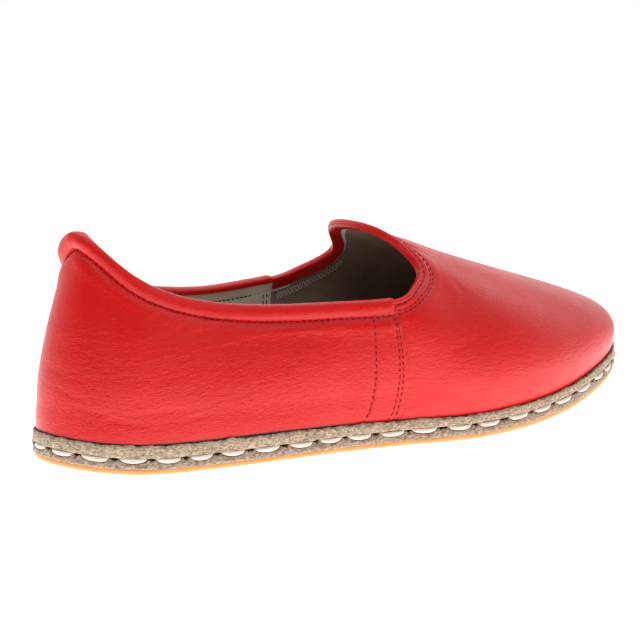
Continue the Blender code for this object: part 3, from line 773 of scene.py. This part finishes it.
def lining_grid(columns, top, coarse, fine):
    """Places of a lining's grid, up to a distance below the rim."""
    tops = SKIN.under_rim(columns, top)
    u, v = [], []
    for at, high in zip(columns, tops):
        total = float(SKIN.height(at))
        rows = rows_up(total * high, coarse, fine, 0.010) * high
        u.append(np.full(len(rows), at))
        v.append(rows)
    return np.array(u), np.array(v)


def make_linings(pale, dark, rim_edge):
    behind = 0.0040 / OUTLINE.side
    columns = crowd(300, INNER_SEAM_U - 2.0, OUTER_SEAM_U, ends=0.010 / OUTLINE.side, share=0.08)
    u, v = lining_grid(columns, COLLAR_INNER_FOOT - 0.0004, 34, 20)
    plain = SKIN.point(u, v)
    depth = waves(plain, (0.00005, 0.007, 5), (0.00012, 0.022, 6))
    depth += 0.00022 * bell(below_rim(u, v) - COLLAR_FOOT, 0.0007)
    lap = 0.0006 * (1.0 - smooth(behind_seam(u, v), 0.008, 0.014))
    front = -UPPER_WALL - lap + depth * smooth(v, 0.0, 0.06)
    make_lining("quarter_lining", u, v, front, front + LINING, pale)
    low, high = OUTER_SEAM_U - behind, INNER_SEAM_U + behind
    columns = crowd(300, low, high, ends=0.010 / OUTLINE.side, share=0.06)
    u, v = lining_grid(columns, THROAT_INNER_FOOT, 44, 20)
    plain = SKIN.point(u, v)
    depth = waves(plain, (0.00005, 0.006, 7), (0.00010, 0.020, 8))
    front = -UPPER_WALL + 0.0001 + depth * smooth(v, 0.0, 0.06)
    lining = make_lining("vamp_lining", u, v, front, front + LINING - 0.0001, dark)
    lining.data.materials.append(rim_edge)
    # The lining's top edge is pale
    middles = np.array([face.center for face in lining.data.polygons]) - ORIGIN
    near_top = SKIN.rim.distance(middles) < THROAT_INNER_FOOT + PALE_EDGE
    lining.data.polygons.foreach_set("material_index", near_top.astype(np.int32))


# Round of a binding over the rim. turn: degrees from the outer side over the top to the inner side.
CREST_TURNS = (-8, *range(8, 177, 14))
Fold = namedtuple("Fold", "foot pad crest inner_foot inner_pad sunk")


def binding_rings(columns, fold):
    """Closed sections of a binding, one for each column, from its outer foot over the rim to its inner foot.
    Every size of the fold is one value or one for each column."""
    fold = Fold(*[np.broadcast_to(np.asarray(size, float), columns.shape) for size in fold])
    steps = np.linspace(0.0, 1.0, 12)
    outer_v = [SKIN.under_rim(columns, fold.foot * (1.0 - step)) for step in steps[:-1]]
    inner_v = [SKIN.under_rim(columns, fold.inner_foot * step) for step in steps[2::2]]
    rim = SKIN.point(columns, 1.0)
    out = SKIN.out(columns, 1.0)
    up = rim - SKIN.point(columns, SKIN.under_rim(columns, 0.0025))
    up /= np.linalg.norm(up, axis=-1, keepdims=True)
    rings = []
    for step, v in zip(steps[:-1], outer_v):
        rise = math.sin(0.5 * math.pi * min(1.0, 1.25 * step)) ** 0.62
        rings.append(skin_points(columns, v, -fold.sunk + (fold.pad + fold.sunk) * rise))
    middle = rim - out * (0.5 * UPPER_WALL)
    for turn in CREST_TURNS:
        angle = math.radians(turn)
        share = smooth(turn, 60, 120)
        reach = 0.5 * UPPER_WALL + fold.pad * (1.0 - share) + fold.inner_pad * share
        side = out * (math.cos(angle) * reach)[:, None]
        rings.append(middle + side + up * (math.sin(angle) * fold.crest)[:, None])
    for step, v in zip(steps[2::2], inner_v):
        rings.append(skin_points(columns, v, -UPPER_WALL - fold.inner_pad * (1.0 - 0.72 * step**2)))
    for v in inner_v[::-2]:
        rings.append(skin_points(columns, v, np.full(len(columns), 0.0001 - UPPER_WALL)))
    rings.append(middle)
    rings.append(skin_points(columns, outer_v[-1], np.full(len(columns), -0.0004)))
    rings.append(skin_points(columns, outer_v[0], -fold.sunk - 0.0004))
    return np.stack(rings, axis=1)


def tube(name, rings, materials, replaces, sharp=50):
    """A closed sweep of sections, capped at both ends."""
    count, size = rings.shape[:2]
    faces = ring_quads(count, size)
    faces.append(list(range(size)))
    faces.append([(count - 1) * size + k for k in reversed(range(size))])
    return add(name, rings.reshape(-1, 3), faces, materials, replaces, sharp=sharp)


def make_bindings(leather):
    start, end = float(seam_u(1.0, False)) - 2.0, float(seam_u(1.0, True))
    columns = crowd(560, start + 0.0008, end - 0.0008, ends=0.006 / OUTLINE.side, share=0.04)
    plain = SKIN.point(columns, 1.0)
    ends = smooth(columns - start, 0.0, 0.006) * smooth(end - columns, 0.0, 0.006)
    tab = 1.0 - smooth(from_heel(columns + 0.012), 0.02, 0.13)
    uneven = 1.0 + 0.10 * noise(plain, 0.016, 11) + 0.05 * noise(plain, 0.006, 12)
    pad = (COLLAR_PAD + (COLLAR_TAB_PAD - COLLAR_PAD) * tab) * uneven * (0.55 + 0.45 * ends)
    crest = COLLAR_CREST * (0.94 + 0.06 * uneven) * (0.80 + 0.20 * ends)
    fold = Fold(collar_foot(columns), pad, crest, COLLAR_INNER_FOOT, 0.0010, 0.00045)
    rings = binding_rings(columns, fold)
    pleats = noise(rings * (1.0, 1.0, 0.35), 0.0022, 13) * (0.00005 + 0.00016 * tab[:, None])
    away = rings - rings.mean(axis=1, keepdims=True)
    away /= np.linalg.norm(away, axis=-1, keepdims=True)
    tube("collar_roll", rings + away * pleats[..., None], [leather], ["collar_binding"])
    start, end = float(seam_u(1.0, True)) - 0.010, float(seam_u(1.0, False)) + 0.010
    columns = np.linspace(start, end, 480)
    pad = THROAT_PAD * (1.0 + 0.10 * noise(SKIN.point(columns, 1.0), 0.014, 14))
    near_end = 1.0 - smooth(np.minimum(columns - start, end - columns), 0.02, 0.12)
    inner_foot = THROAT_INNER_FOOT + (THROAT_END_INNER_FOOT - THROAT_INNER_FOOT) * near_end
    rings = binding_rings(columns, Fold(THROAT_FOOT, pad, THROAT_CREST, inner_foot, 0.0004, 0.00030))
    tube("throat_roll", rings, [leather], ["throat_binding"])


def ring_piece(name, rings, materials, replaces, caps=False, sharp=45):
    """A piece of the sole from closed rings: joined into a loop, or with strips across its first and last."""
    rings = np.asarray(rings)
    count, size = rings.shape[:2]
    faces = ring_quads(count, size, closed=not caps, inward=True)
    if caps:
        half = size // 2
        for base, turned in ((0, True), ((count - 1) * size, False)):
            strips = [[base, base + 1, base + size - 1]]
            for i in range(1, half - 1):
                strips.append([base + i, base + i + 1, base + size - i - 1, base + size - i])
            strips.append([base + half - 1, base + half, base + half + 1])
            faces += [s[::-1] for s in strips] if turned else strips
    return add(name, rings.reshape(-1, 3), faces, materials, replaces, sharp=sharp)


def around(count):
    """Even places round the outline."""
    return np.arange(count) * 2.0 / count


# Hand stitches of the sole. Where each one's middle lies round the outline, as a distance from the back of
# the heel in mm, on the outer side. The inner side repeats the usual pitch.
OUTER_STITCHES = (
    -2, 10.5, 23.5, 37.5, 51, 64, 77, 91.5, 106, 119, 131.5, 145.5, 159, 174, 187, 201, 213.5, 226, 241,
    254, 264,
)
STITCH_STEP = 13.2 * MM
STITCH_SHARE = 0.78
STITCH_THICK = 1.9 * MM


def stitch_places():
    places = [row * MM / OUTLINE.side for row in OUTER_STITCHES]
    at = places[-1] + STITCH_STEP / OUTLINE.side
    count = int(round((2.0 + places[0] - at) * OUTLINE.side / STITCH_STEP))
    step = (2.0 + places[0] - at) / count
    return np.array(places + [at + step * i for i in range(count)])


def stitch_lengths(places):
    """Length of each stitch, as a share of the pitch about it."""
    pitch = 0.5 * ((np.roll(places, -1) - np.roll(places, 1)) % 2.0) * OUTLINE.side
    return STITCH_SHARE * pitch * (1.0 + 0.03 * np.sin(7.1 * np.arange(len(places))))


def stitch_body(share):
    """Thickness of a stitch at a share of its half length, from 1 in the middle to 0 at the end."""
    return np.sqrt(np.clip(1.0 - np.abs(share) ** 2.4, 0.0, 1.0))


def stitch_shape(u):
    """Thickness of the stitch at each place, 0 between stitches; and how close a stitch's end is."""
    places = stitch_places()
    aside = np.abs((u[:, None] - places[None, :] + 1.0) % 2.0 - 1.0) * OUTLINE.side
    share = aside.min(axis=1) / (0.5 * stitch_lengths(places)[aside.argmin(axis=1)])
    body = stitch_body(np.minimum(share, 1.0))
    hole = bell(share - 1.22, 0.15)
    return body, hole


def shade_rings(piece, first, last, size):
    """Gives a piece's second material, its painted shade, to the faces from one of its rings to another."""
    kinds = np.zeros(len(piece.data.polygons), np.int32)
    kinds[first * size : last * size] = 1
    piece.data.polygons.foreach_set("material_index", kinds)


# dark: painted shade, for the midsole's stitch groove and for the welt's top and inner side
def make_sole(gum, sole, welt_leather, dark, insole_leather):
    u = around(SOLE_STEPS)
    flat = np.column_stack([OUTLINE.point(u), np.zeros(len(u))])
    middle, hole = stitch_shape(u)
    between = 1.0 - middle

    def ring(out, height):
        return on_sole(OUTLINE.inset(u, -np.asarray(out)[..., None] * np.ones((len(u), 1))), height)

    # Each ring: how far out from the outline, and how high above the sole's underside

    edge = waves(flat, (0.00012, 0.021, 20), (0.00006, 0.004, 21))
    top = OUTSOLE_THICKNESS
    rings = [
        ring(-0.0030, 0.0),
        ring(-0.0006 + edge, 0.0),
        ring(-0.0002 + edge, 0.00012),
        ring(-0.00002 + edge, 0.0005),
        ring(edge, 0.5 * top),
        ring(-0.00004 + edge, top - 0.0003),
        ring(-0.0003 + edge, top),
        ring(-0.0030, top),
    ]
    ring_piece("gum_outsole", rings, [gum], ["outsole"], caps=True, sharp=60)

    rough = waves(flat, (0.00010, 0.0016, 22), (0.00014, 0.005, 23))
    out = WELT_OVERHANG - 0.0001
    base = MIDSOLE_BOTTOM - GAP + 0.00002
    step = MIDSOLE_BOTTOM + MIDSOLE_LIP
    lip = (STITCH_GROOVE - 0.0001) * between + 0.5 * rough * middle - 0.0009 * hole
    deep = WELT_OVERHANG - STITCH_GROOVE_DEPTH - 0.0004 * hole
    rings = [
        ring(-0.0030, base),
        ring(out - 0.0004 + rough, base),
        ring(out - 0.0001 + rough, base + 0.00025),
        ring(out + rough - 0.00006 * middle, base + 0.0008),
        ring(out + rough - 0.00016 * middle, base + 0.0014),
        ring(out + rough - 0.00030 * middle - 0.0002 * hole, step + lip - 0.00035),
        ring(out - 0.0004 + rough - 0.0003 * middle - 0.0004 * hole, step + lip),
        ring(out - 0.0010 - 0.0003 * hole, step + lip),
        ring(deep - 0.0004, step + 0.9 * lip),
        ring(deep - 0.0004, MIDSOLE_TOP),
        ring(-0.0040, MIDSOLE_TOP),
    ]
    piece = ring_piece("midsole_edge", rings, [sole, dark], ["midsole"], caps=True, sharp=60)
    # The groove's floor and back wall under the welt take the second material, painted shade
    shade_rings(piece, 7, 9, len(u))

    plan = OUTLINE.inset(u, FEATHER_INSET)
    high = welt_height(plan)
    fibre = waves(flat, (0.00026, 0.0010, 24), (0.00034, 0.0032, 25))
    tuft = 0.00130 * np.clip(noise(flat, 0.0050, 26) - 0.50, 0.0, 1.0)
    rise = high + fibre + tuft - 0.0003
    rough = waves(flat, (0.00012, 0.0014, 27), (0.00022, 0.009, 28))
    low = SEAT - 0.00025 + 0.5 * rough + 0.00012 * hole
    out = WELT_OVERHANG - 0.0002
    rings = [
        ring(-0.0030, SEAT + 0.0001),
        ring(-0.0003, low + 0.0002),
        ring(out - 0.0005 + rough, low),
        ring(out + 0.5 * rough - 0.0001 * middle, low + 0.0004),
        ring(out + rough + 0.0001, low + 0.30 * high),
        ring(out + rough * 1.4, SEAT + 0.55 * high),
        ring(out + rough - 0.0001, SEAT + 0.80 * high),
        ring(out - 0.0004 + rough, SEAT + rise - 0.0003),
        ring(out - 0.0008 + rough, SEAT + rise),
        ring(out - 0.0014 + rough, SEAT + rise - 0.00005 + 0.3 * fibre),
        ring(out - 0.0022 + 0.5 * rough, SEAT + rise - 0.0005),
        ring(-0.0024 + 0.5 * rough, SEAT + high - 0.0013),
        ring(-FEATHER_INSET + 0.0005, SEAT + high - 0.0020),
        ring(-FEATHER_INSET + 0.0003, SEAT + 0.0002),
    ]
    piece = ring_piece("welt_strip", rings, [welt_leather, dark], ["welt"], sharp=70)
    # The welt's top and inner side take the second material: painted shade of the gap against the upper,
    # which also stands for the welt's darker cut top edge
    shade_rings(piece, 8, len(rings), len(u))

    inset = FEATHER_INSET + UPPER_WALL + 0.0002
    u = around(INSOLE_STEPS)
    rings = []
    top = SEAT + INSOLE_THICKNESS
    shoulder, low = top - 0.00024, SEAT + 0.7 * INSOLE_THICKNESS
    for extra, height in (
        (0.0, SEAT + 0.0001), (0.0, low), (0.0004, shoulder), (0.0014, top), (0.0040, top - 0.00006),
    ):
        rings.append(on_sole(OUTLINE.inset(u, inset + extra), height))
    ring_piece("insole_cover", rings, [insole_leather], ["insole"], caps=True, sharp=60)


def strands(name, rods, sides, material, replaces):
    """Thin rods joined in one mesh. rods: each one's points, and its radius at each point."""
    points, faces = [], []
    angles = np.arange(sides) * 2.0 * math.pi / sides
    for path, radius in rods:
        run = np.gradient(path, axis=0)
        run /= np.linalg.norm(run, axis=-1, keepdims=True)
        one = np.cross(run, (0.31, 0.17, 0.93))
        one /= np.linalg.norm(one, axis=-1, keepdims=True)
        two = np.cross(run, one)
        base = len(points)
        for p, a, b, r in zip(path, one, two, radius):
            for angle in angles:
                points.append(p + (a * math.cos(angle) + b * math.sin(angle)) * r)
        last = base + (len(path) - 1) * sides
        faces += [[base + corner for corner in quad] for quad in ring_quads(len(path), sides, inward=True)]
        faces.append([base + s for s in reversed(range(sides))])
        faces.append([last + s for s in range(sides)])
    add(name, points, faces, [material], replaces, sharp=60)


def make_sole_stitches(waxed):
    """Each hand stitch is a loose bundle of waxed strands, thick in the middle and drawn in at its ends."""
    rods = []
    places = stitch_places()
    t = np.linspace(-1.0, 1.0, 17)
    body = stitch_body(t)
    thread = 0.00012 + 0.00030 * body
    half = 0.5 * STITCH_THICK * body
    for n, (at, length) in enumerate(zip(places, stitch_lengths(places))):
        top = SEAT - 0.00015 + 0.00012 * math.sin(4.3 * n + 1.0) + 0.00012 * math.sin(2.9 * n) * t
        for s in range(7):
            angle = 2.0 * math.pi * s / 6.0 + 0.9 * t + n
            spread = np.maximum(half - thread, 0.0) if s < 6 else 0.0 * half
            u = at + 0.5 * length * t / OUTLINE.side
            out = WELT_OVERHANG - 0.0020 + 0.0016 * body + np.cos(angle) * spread * 0.75
            rise = top - half + np.sin(angle) * spread
            plan = OUTLINE.point(u) + OUTLINE.outward(u) * out[:, None]
            rods.append((on_sole(plan, rise), thread))
    strands("sole_stitches", rods, 7, waxed, ["welt"])


def row_stitches(surface, pitch, long, samples):
    """For each stitch of a row on a curve: the curve's lengths, the stitch's places there, and its points."""
    length = arc_lengths(surface)
    count = int(length[-1] / pitch)
    for k in range(count):
        at = (k + 0.5 + long * (np.linspace(0.0, 1.0, samples) - 0.5)) * length[-1] / count
        yield length, at, read_curve(at, length, surface)


def stitch_row(u, v, extra):
    """Rods for a row of machine stitches along places (u, v) of the skin, half sunk in the leather."""
    surface = skin_points(u, v, leather_shape(u, v) + extra)
    sink = 0.00012 - 0.00035 * np.abs(np.linspace(-1.0, 1.0, 5)) ** 3
    rods = []
    for length, at, path in row_stitches(surface, STITCH_PITCH, 0.72, 5):
        out = SKIN.out(np.interp(at, length, u), np.interp(at, length, v))
        rods.append((path + out * sink[:, None], THREAD * np.array([0.8, 1.0, 1.0, 1.0, 0.8])))
    return rods


def make_machine_stitches(thread):
    start, end = float(seam_u(1.0, False)) - 2.0, float(seam_u(1.0, True))
    u = np.linspace(start + 0.004, end - 0.004, 500)
    rods = stitch_row(u, SKIN.under_rim(u, collar_foot(u) + 0.0002), 0.00005)
    start, end = float(seam_u(1.0, True)) + 0.004, float(seam_u(1.0, False)) - 0.004
    u = np.linspace(start, end, 500)
    for row in THROAT_ROWS:
        rods += stitch_row(u, SKIN.under_rim(u, np.maximum(row - throat_pull(u), 0.0015)), 0.00002)
    v = np.linspace(0.0, 0.885, 60)
    for outer in (True, False):
        for line in SEAM_ROWS:
            rods += stitch_row(seam_u(v, outer, line), v, 0.00002)
    strands("machine_stitches", rods, 6, thread, ["upper"])


def lining_row(u, v, out, long, radius):
    """Rods for a row of stitches on a lining."""
    surface = skin_points(u, v, np.full(len(u), out))
    return [(path, np.full(3, radius)) for _, _, path in row_stitches(surface, STITCH_PITCH, long, 3)]


def make_lining_stitches(thread):
    """The collar's row shows on the pale lining, and two rows run down each seam."""
    u = np.linspace(INNER_SEAM_U - 2.0 + 0.01, OUTER_SEAM_U - 0.01, 500)
    rods = lining_row(u, SKIN.under_rim(u, COLLAR_FOOT), -UPPER_WALL - 0.00012, 0.5, 0.00025)
    v = np.linspace(0.10, 0.90, 60)
    for seam, side in ((OUTER_SEAM_U, 1.0), (INNER_SEAM_U, -1.0)):
        for back in (0.0024, 0.0042):
            u = np.full(len(v), seam - side * back / OUTLINE.side)
            rods += lining_row(u, v, -UPPER_WALL - 0.00065, 0.6, 0.00022)
    strands("lining_stitches", rods, 5, thread, ["upper"])


def make_zigzags(thread):
    """Two crossing zigzags hold the vamp's lining under the throat, from each seam to the throat's corner."""
    rods = []
    for low, high in ((OUTER_SEAM_U + 0.014, 0.67), (1.33, INNER_SEAM_U - 0.014)):
        u = np.linspace(low, high, 560)
        along = arc_lengths(SKIN.point(u, 1.0))
        for phase in (0.0, 0.5):
            wave = np.abs(((along / ZIGZAG_PITCH + phase) % 1.0) * 2.0 - 1.0)
            v = SKIN.under_rim(u, THROAT_INNER_FOOT + 0.0013 + ZIGZAG_WIDTH * wave)
            points = skin_points(u, v, np.full(len(u), -UPPER_WALL - 0.00005))
            rods.append((points, np.full(len(points), THREAD)))
    strands("zigzag_stitches", rods, 4, thread, ["upper"])


def map_range(tree, source, low, high, to_low, to_high):
    """A value that runs from low to high, mapped to run from to_low to to_high."""
    node = tree.nodes.new("ShaderNodeMapRange")
    tree.links.new(source, node.inputs["Value"])
    for key, value in (("From Min", low), ("From Max", high), ("To Min", to_low), ("To Max", to_high)):
        node.inputs[key].default_value = value
    return node.outputs["Result"]


class Look:
    """A material with one Principled shader, and short ways to add texture nodes to it."""

    def __init__(self, name, color, roughness, specular=0.5):
        self.material = bpy.data.materials.new(name)
        self.material.use_nodes = True
        self.tree = self.material.node_tree
        self.shader = self.tree.nodes["Principled BSDF"]
        self.set("Base Color", (*color, 1.0))
        self.set("Roughness", roughness)
        self.set("Specular IOR Level", specular)
        self.where = self.node("ShaderNodeTexCoord").outputs["Object"]
        self.normal = None

    def set(self, socket, value):
        self.shader.inputs[socket].default_value = value

    def link(self, source, socket):
        self.tree.links.new(source, self.shader.inputs[socket])

    def node(self, kind, links=None, **values):
        node = self.tree.nodes.new(kind)
        for key, value in values.items():
            if key == "operation":
                node.operation = value
            else:
                node.inputs[key.replace("_", " ")].default_value = value
        for key, source in (links or {}).items():
            self.tree.links.new(source, node.inputs[key])
        return node

    def stretched(self, x, y, z):
        node = self.node("ShaderNodeMapping", {"Vector": self.where})
        node.inputs["Scale"].default_value = (x, y, z)
        return node.outputs["Vector"]

    def spots(self, size, detail=3.0, where=None, rough=0.5, distortion=0.0):
        """Noise with spots of a size in metres, from 0 to 1."""
        vector = {"Vector": where or self.where}
        node = self.node("ShaderNodeTexNoise", vector, Scale=0.5 / size, Detail=detail)
        node.inputs["Roughness"].default_value = rough
        node.inputs["Distortion"].default_value = distortion
        return node.outputs["Fac"]

    def cells(self, size):
        node = self.node("ShaderNodeTexVoronoi", {"Vector": self.where}, Scale=1.0 / size)
        return node.outputs["Distance"]

    def spread(self, source, low, high, to_low, to_high):
        return map_range(self.tree, source, low, high, to_low, to_high)

    def mix(self, factor, a, b):
        """Colour between a and b. Each is a colour or another node's colour."""
        node = self.tree.nodes.new("ShaderNodeMix")
        node.data_type = "RGBA"
        self.tree.links.new(factor, node.inputs[0])
        for socket, value in ((node.inputs[6], a), (node.inputs[7], b)):
            if isinstance(value, tuple):
                socket.default_value = (*value, 1.0)
            else:
                self.tree.links.new(value, socket)
        return node.outputs[2]

    def product(self, one, other):
        return self.node("ShaderNodeMath", {0: one, 1: other}, operation="MULTIPLY").outputs["Value"]

    def band(self, low, full, part, high):
        """1 between two heights above the floor, falling to 0 at the heights outside them."""
        height = self.node("ShaderNodeSeparateXYZ", {"Vector": self.where}).outputs["Z"]
        rise = self.spread(height, low, full, 0.0, 1.0)
        return self.product(rise, self.spread(height, part, high, 1.0, 0.0))

    def color(self, source):
        self.link(source, "Base Color")

    def rough(self, source):
        self.link(source, "Roughness")

    def bump(self, source, height, strength=1.0):
        """Adds relief of a height in metres over what is already there."""
        node = self.node("ShaderNodeBump", {"Height": source}, Strength=strength, Distance=height)
        if self.normal:
            self.tree.links.new(self.normal, node.inputs["Normal"])
        self.normal = node.outputs["Normal"]
        self.link(self.normal, "Normal")


def red_leather():
    look = Look("red_leather_look", (0.69, 0.006, 0.004), 0.33, 0.38)
    patches = look.spread(look.spots(0.018, 3.0), 0.30, 0.70, 0.0, 1.0)
    look.color(look.mix(patches, (0.665, 0.005, 0.004), (0.715, 0.008, 0.006)))
    look.rough(look.spread(look.spots(0.006, 4.0), 0.3, 0.7, 0.29, 0.38))
    look.set("Coat Weight", 0.06)
    look.set("Coat Roughness", 0.32)
    look.bump(look.spots(0.0030, 4.0, look.stretched(0.55, 0.55, 1.5), 0.55, 0.6), 0.00022, 0.55)
    fine = look.spots(0.00075, 5.0, look.stretched(0.38, 0.38, 1.25), 0.66, 0.8)
    look.bump(look.product(fine, look.band(0.008, 0.016, 0.040, 0.070)), 0.00036, 0.90)
    look.bump(look.cells(0.00095), 0.00009, 0.80)
    look.bump(look.spots(0.00040, 4.0), 0.00007, 0.80)
    return look.material


def edge_leather():
    look = Look("cut_edge_look", (0.30, 0.10, 0.08), 0.85, 0.2)
    look.bump(look.spots(0.0005, 3.0), 0.00010)
    return look.material


def sole_leather(name, dark, pale, relief):
    look = Look(name, pale, 0.92, 0.12)
    patches = look.spread(look.spots(0.0045, 6.0, None, 0.65), 0.35, 0.65, 0.0, 1.0)
    fibres = look.spread(look.spots(0.00045, 5.0, look.stretched(0.6, 0.6, 1.2), 0.75), 0.38, 0.62, 0.0, 1.0)
    shaded = look.mix(patches, tuple(0.72 * a for a in dark), dark)
    lit = look.mix(patches, tuple(0.86 * a for a in pale), pale)
    look.color(look.mix(fibres, shaded, lit))
    look.set("Sheen Weight", 0.20)
    look.set("Sheen Roughness", 0.5)
    look.bump(look.spots(0.0010, 6.0, look.stretched(0.7, 0.7, 1.2), 0.75), 1.3 * relief)
    look.bump(look.spots(0.0003, 4.0), 0.6 * relief)
    return look.material


def gum_rubber():
    look = Look("gum_rubber_look", (0.80, 0.38, 0.13), 0.50, 0.3)
    patches = look.spread(look.spots(0.010, 4.0), 0.3, 0.7, 0.0, 1.0)
    look.color(look.mix(patches, (0.78, 0.36, 0.12), (0.84, 0.43, 0.16)))
    look.bump(look.spots(0.0009, 4.0), 0.00010, 0.6)
    return look.material


def lining_leather(name, dark, pale):
    look = Look(name, pale, 0.78, 0.25)
    patches = look.spread(look.spots(0.007, 5.0, None, 0.6), 0.3, 0.7, 0.0, 1.0)
    look.color(look.mix(patches, dark, pale))
    look.bump(look.cells(0.0008), 0.00005, 0.5)
    look.bump(look.spots(0.0004, 4.0), 0.00005, 0.7)
    return look.material


def thread_look(name, color, roughness, twist):
    look = Look(name, color, roughness, 0.3)
    look.bump(look.spots(twist, 4.0), 0.5 * twist, 0.7)
    return look.material


def add_light(name, where, towards, size, power, color=(1.0, 1.0, 1.0)):
    data = bpy.data.lights.new(name, "AREA")
    data.shape = "RECTANGLE"
    data.size, data.size_y = size
    data.energy = power
    data.color = color
    lamp = bpy.data.objects.new(name, data)
    bpy.context.scene.collection.objects.link(lamp)
    lamp.location = where
    lamp.rotation_euler = (Vector(towards) - Vector(where)).to_track_quat("-Z", "Y").to_euler()


def make_stage():
    scene = bpy.context.scene
    scene.view_settings.view_transform = "Standard"
    mesh = bpy.data.meshes.new("floor")
    far = 6.0
    corners = [(x * far, y * far, 0.0) for x, y in ((-1, -1), (1, -1), (1, 1), (-1, 1))]
    mesh.from_pydata(corners, [], [(0, 1, 2, 3)])
    floor = bpy.data.objects.new("floor", mesh)
    scene.collection.objects.link(floor)
    # Painted light: the floor glows, brightest under the shoe and fading outward. It lights the shoe from
    # below and keeps the floor white round it.
    glowing_floor = Look("floor_look", (0.86, 0.86, 0.86), 0.70, 0.1)
    glowing_floor.set("Emission Color", (1.0, 1.0, 1.0, 1.0))
    away = glowing_floor.node("ShaderNodeVectorMath", {0: glowing_floor.stretched(5.5, 9.0, 0.0)}, operation="LENGTH")
    glow = glowing_floor.spread(away.outputs["Value"], 0.5, 2.6, 1.80, 0.40)
    glowing_floor.link(glow, "Emission Strength")
    mesh.materials.append(glowing_floor.material)

    world = bpy.data.worlds.new("studio")
    world.use_nodes = True
    scene.world = world
    tree = world.node_tree
    sky = tree.nodes["Background"]
    where = tree.nodes.new("ShaderNodeTexCoord")
    facing = tree.nodes.new("ShaderNodeVectorMath")
    facing.operation = "DOT_PRODUCT"
    facing.inputs[1].default_value = (0.53, 0.75, 0.40)
    tree.links.new(where.outputs["Generated"], facing.inputs[0])
    strength = map_range(tree, facing.outputs["Value"], -0.65, 0.68, 0.0, 1.0)
    tree.links.new(strength, sky.inputs["Strength"])
    sky.inputs["Color"].default_value = (1.0, 1.0, 1.0, 1.0)

    add_light("key", (-0.45, -0.75, 1.25), (0.0, 0.0, 0.03), (1.0, 0.8), 3.2)
    add_light("top", (0.25, 0.35, 1.35), (0.0, 0.0, 0.03), (1.2, 0.9), 3.4)

    azimuth, elevation = math.radians(34.9), math.radians(10.2)
    distance = 1.0966
    target = Vector((0.0, 0.0012, 0.03655))
    back = Vector((
        -math.sin(azimuth) * math.cos(elevation),
        -math.cos(azimuth) * math.cos(elevation),
        math.sin(elevation),
    ))
    data = bpy.data.cameras.new("camera")
    data.lens = 157.95
    data.sensor_width = 36.0
    data.shift_x = -0.0305
    data.shift_y = 0.0269
    camera = bpy.data.objects.new("camera", data)
    scene.collection.objects.link(camera)
    camera.location = target + back * distance
    camera.rotation_euler = (-back).to_track_quat("-Z", "Y").to_euler()
    scene.camera = camera


def main():
    leather = red_leather()
    edge = edge_leather()
    pale = lining_leather("pale_lining_look", (0.74, 0.68, 0.57), (0.84, 0.78, 0.67))
    dark = lining_leather("dark_lining_look", (0.235, 0.180, 0.148), (0.330, 0.255, 0.212))
    rim_edge = lining_leather("lining_edge_look", (0.74, 0.73, 0.73), (0.86, 0.85, 0.85))
    insole = lining_leather("insole_look", (0.42, 0.37, 0.30), (0.52, 0.46, 0.38))
    gum = gum_rubber()
    midsole = sole_leather("midsole_look", (0.22, 0.150, 0.105), (0.64, 0.49, 0.37), 0.00022)
    welt = sole_leather("welt_look", (0.26, 0.185, 0.120), (0.72, 0.57, 0.41), 0.00028)
    # Painted shade: a near-black brown for the crevice between the upper and the welt. It lies on the upper's
    # lowest rows, on the welt's top and inner side, and in the groove under the welt. On the welt's top it
    # also stands for the welt's darker cut edge.
    crevice_shade = sole_leather("welt_top_look", (0.045, 0.024, 0.018), (0.135, 0.085, 0.062), 0.00030)
    red_thread = thread_look("red_thread_look", (0.22, 0.004, 0.012), 0.6, 0.0003)
    dark_thread = thread_look("dark_thread_look", (0.030, 0.026, 0.024), 0.7, 0.0003)
    grey_thread = thread_look("grey_thread_look", (0.60, 0.57, 0.54), 0.7, 0.0003)
    waxed_thread = thread_look("waxed_thread_look", (0.86, 0.73, 0.64), 0.62, 0.0004)
    make_quarter([leather, edge, crevice_shade])
    make_vamp([leather, edge, crevice_shade])
    make_linings(pale, dark, rim_edge)
    make_bindings(leather)
    make_sole(gum, midsole, welt, crevice_shade, insole)
    make_sole_stitches(waxed_thread)
    make_machine_stitches(red_thread)
    make_lining_stitches(dark_thread)
    make_zigzags(grey_thread)
    make_stage()


main()
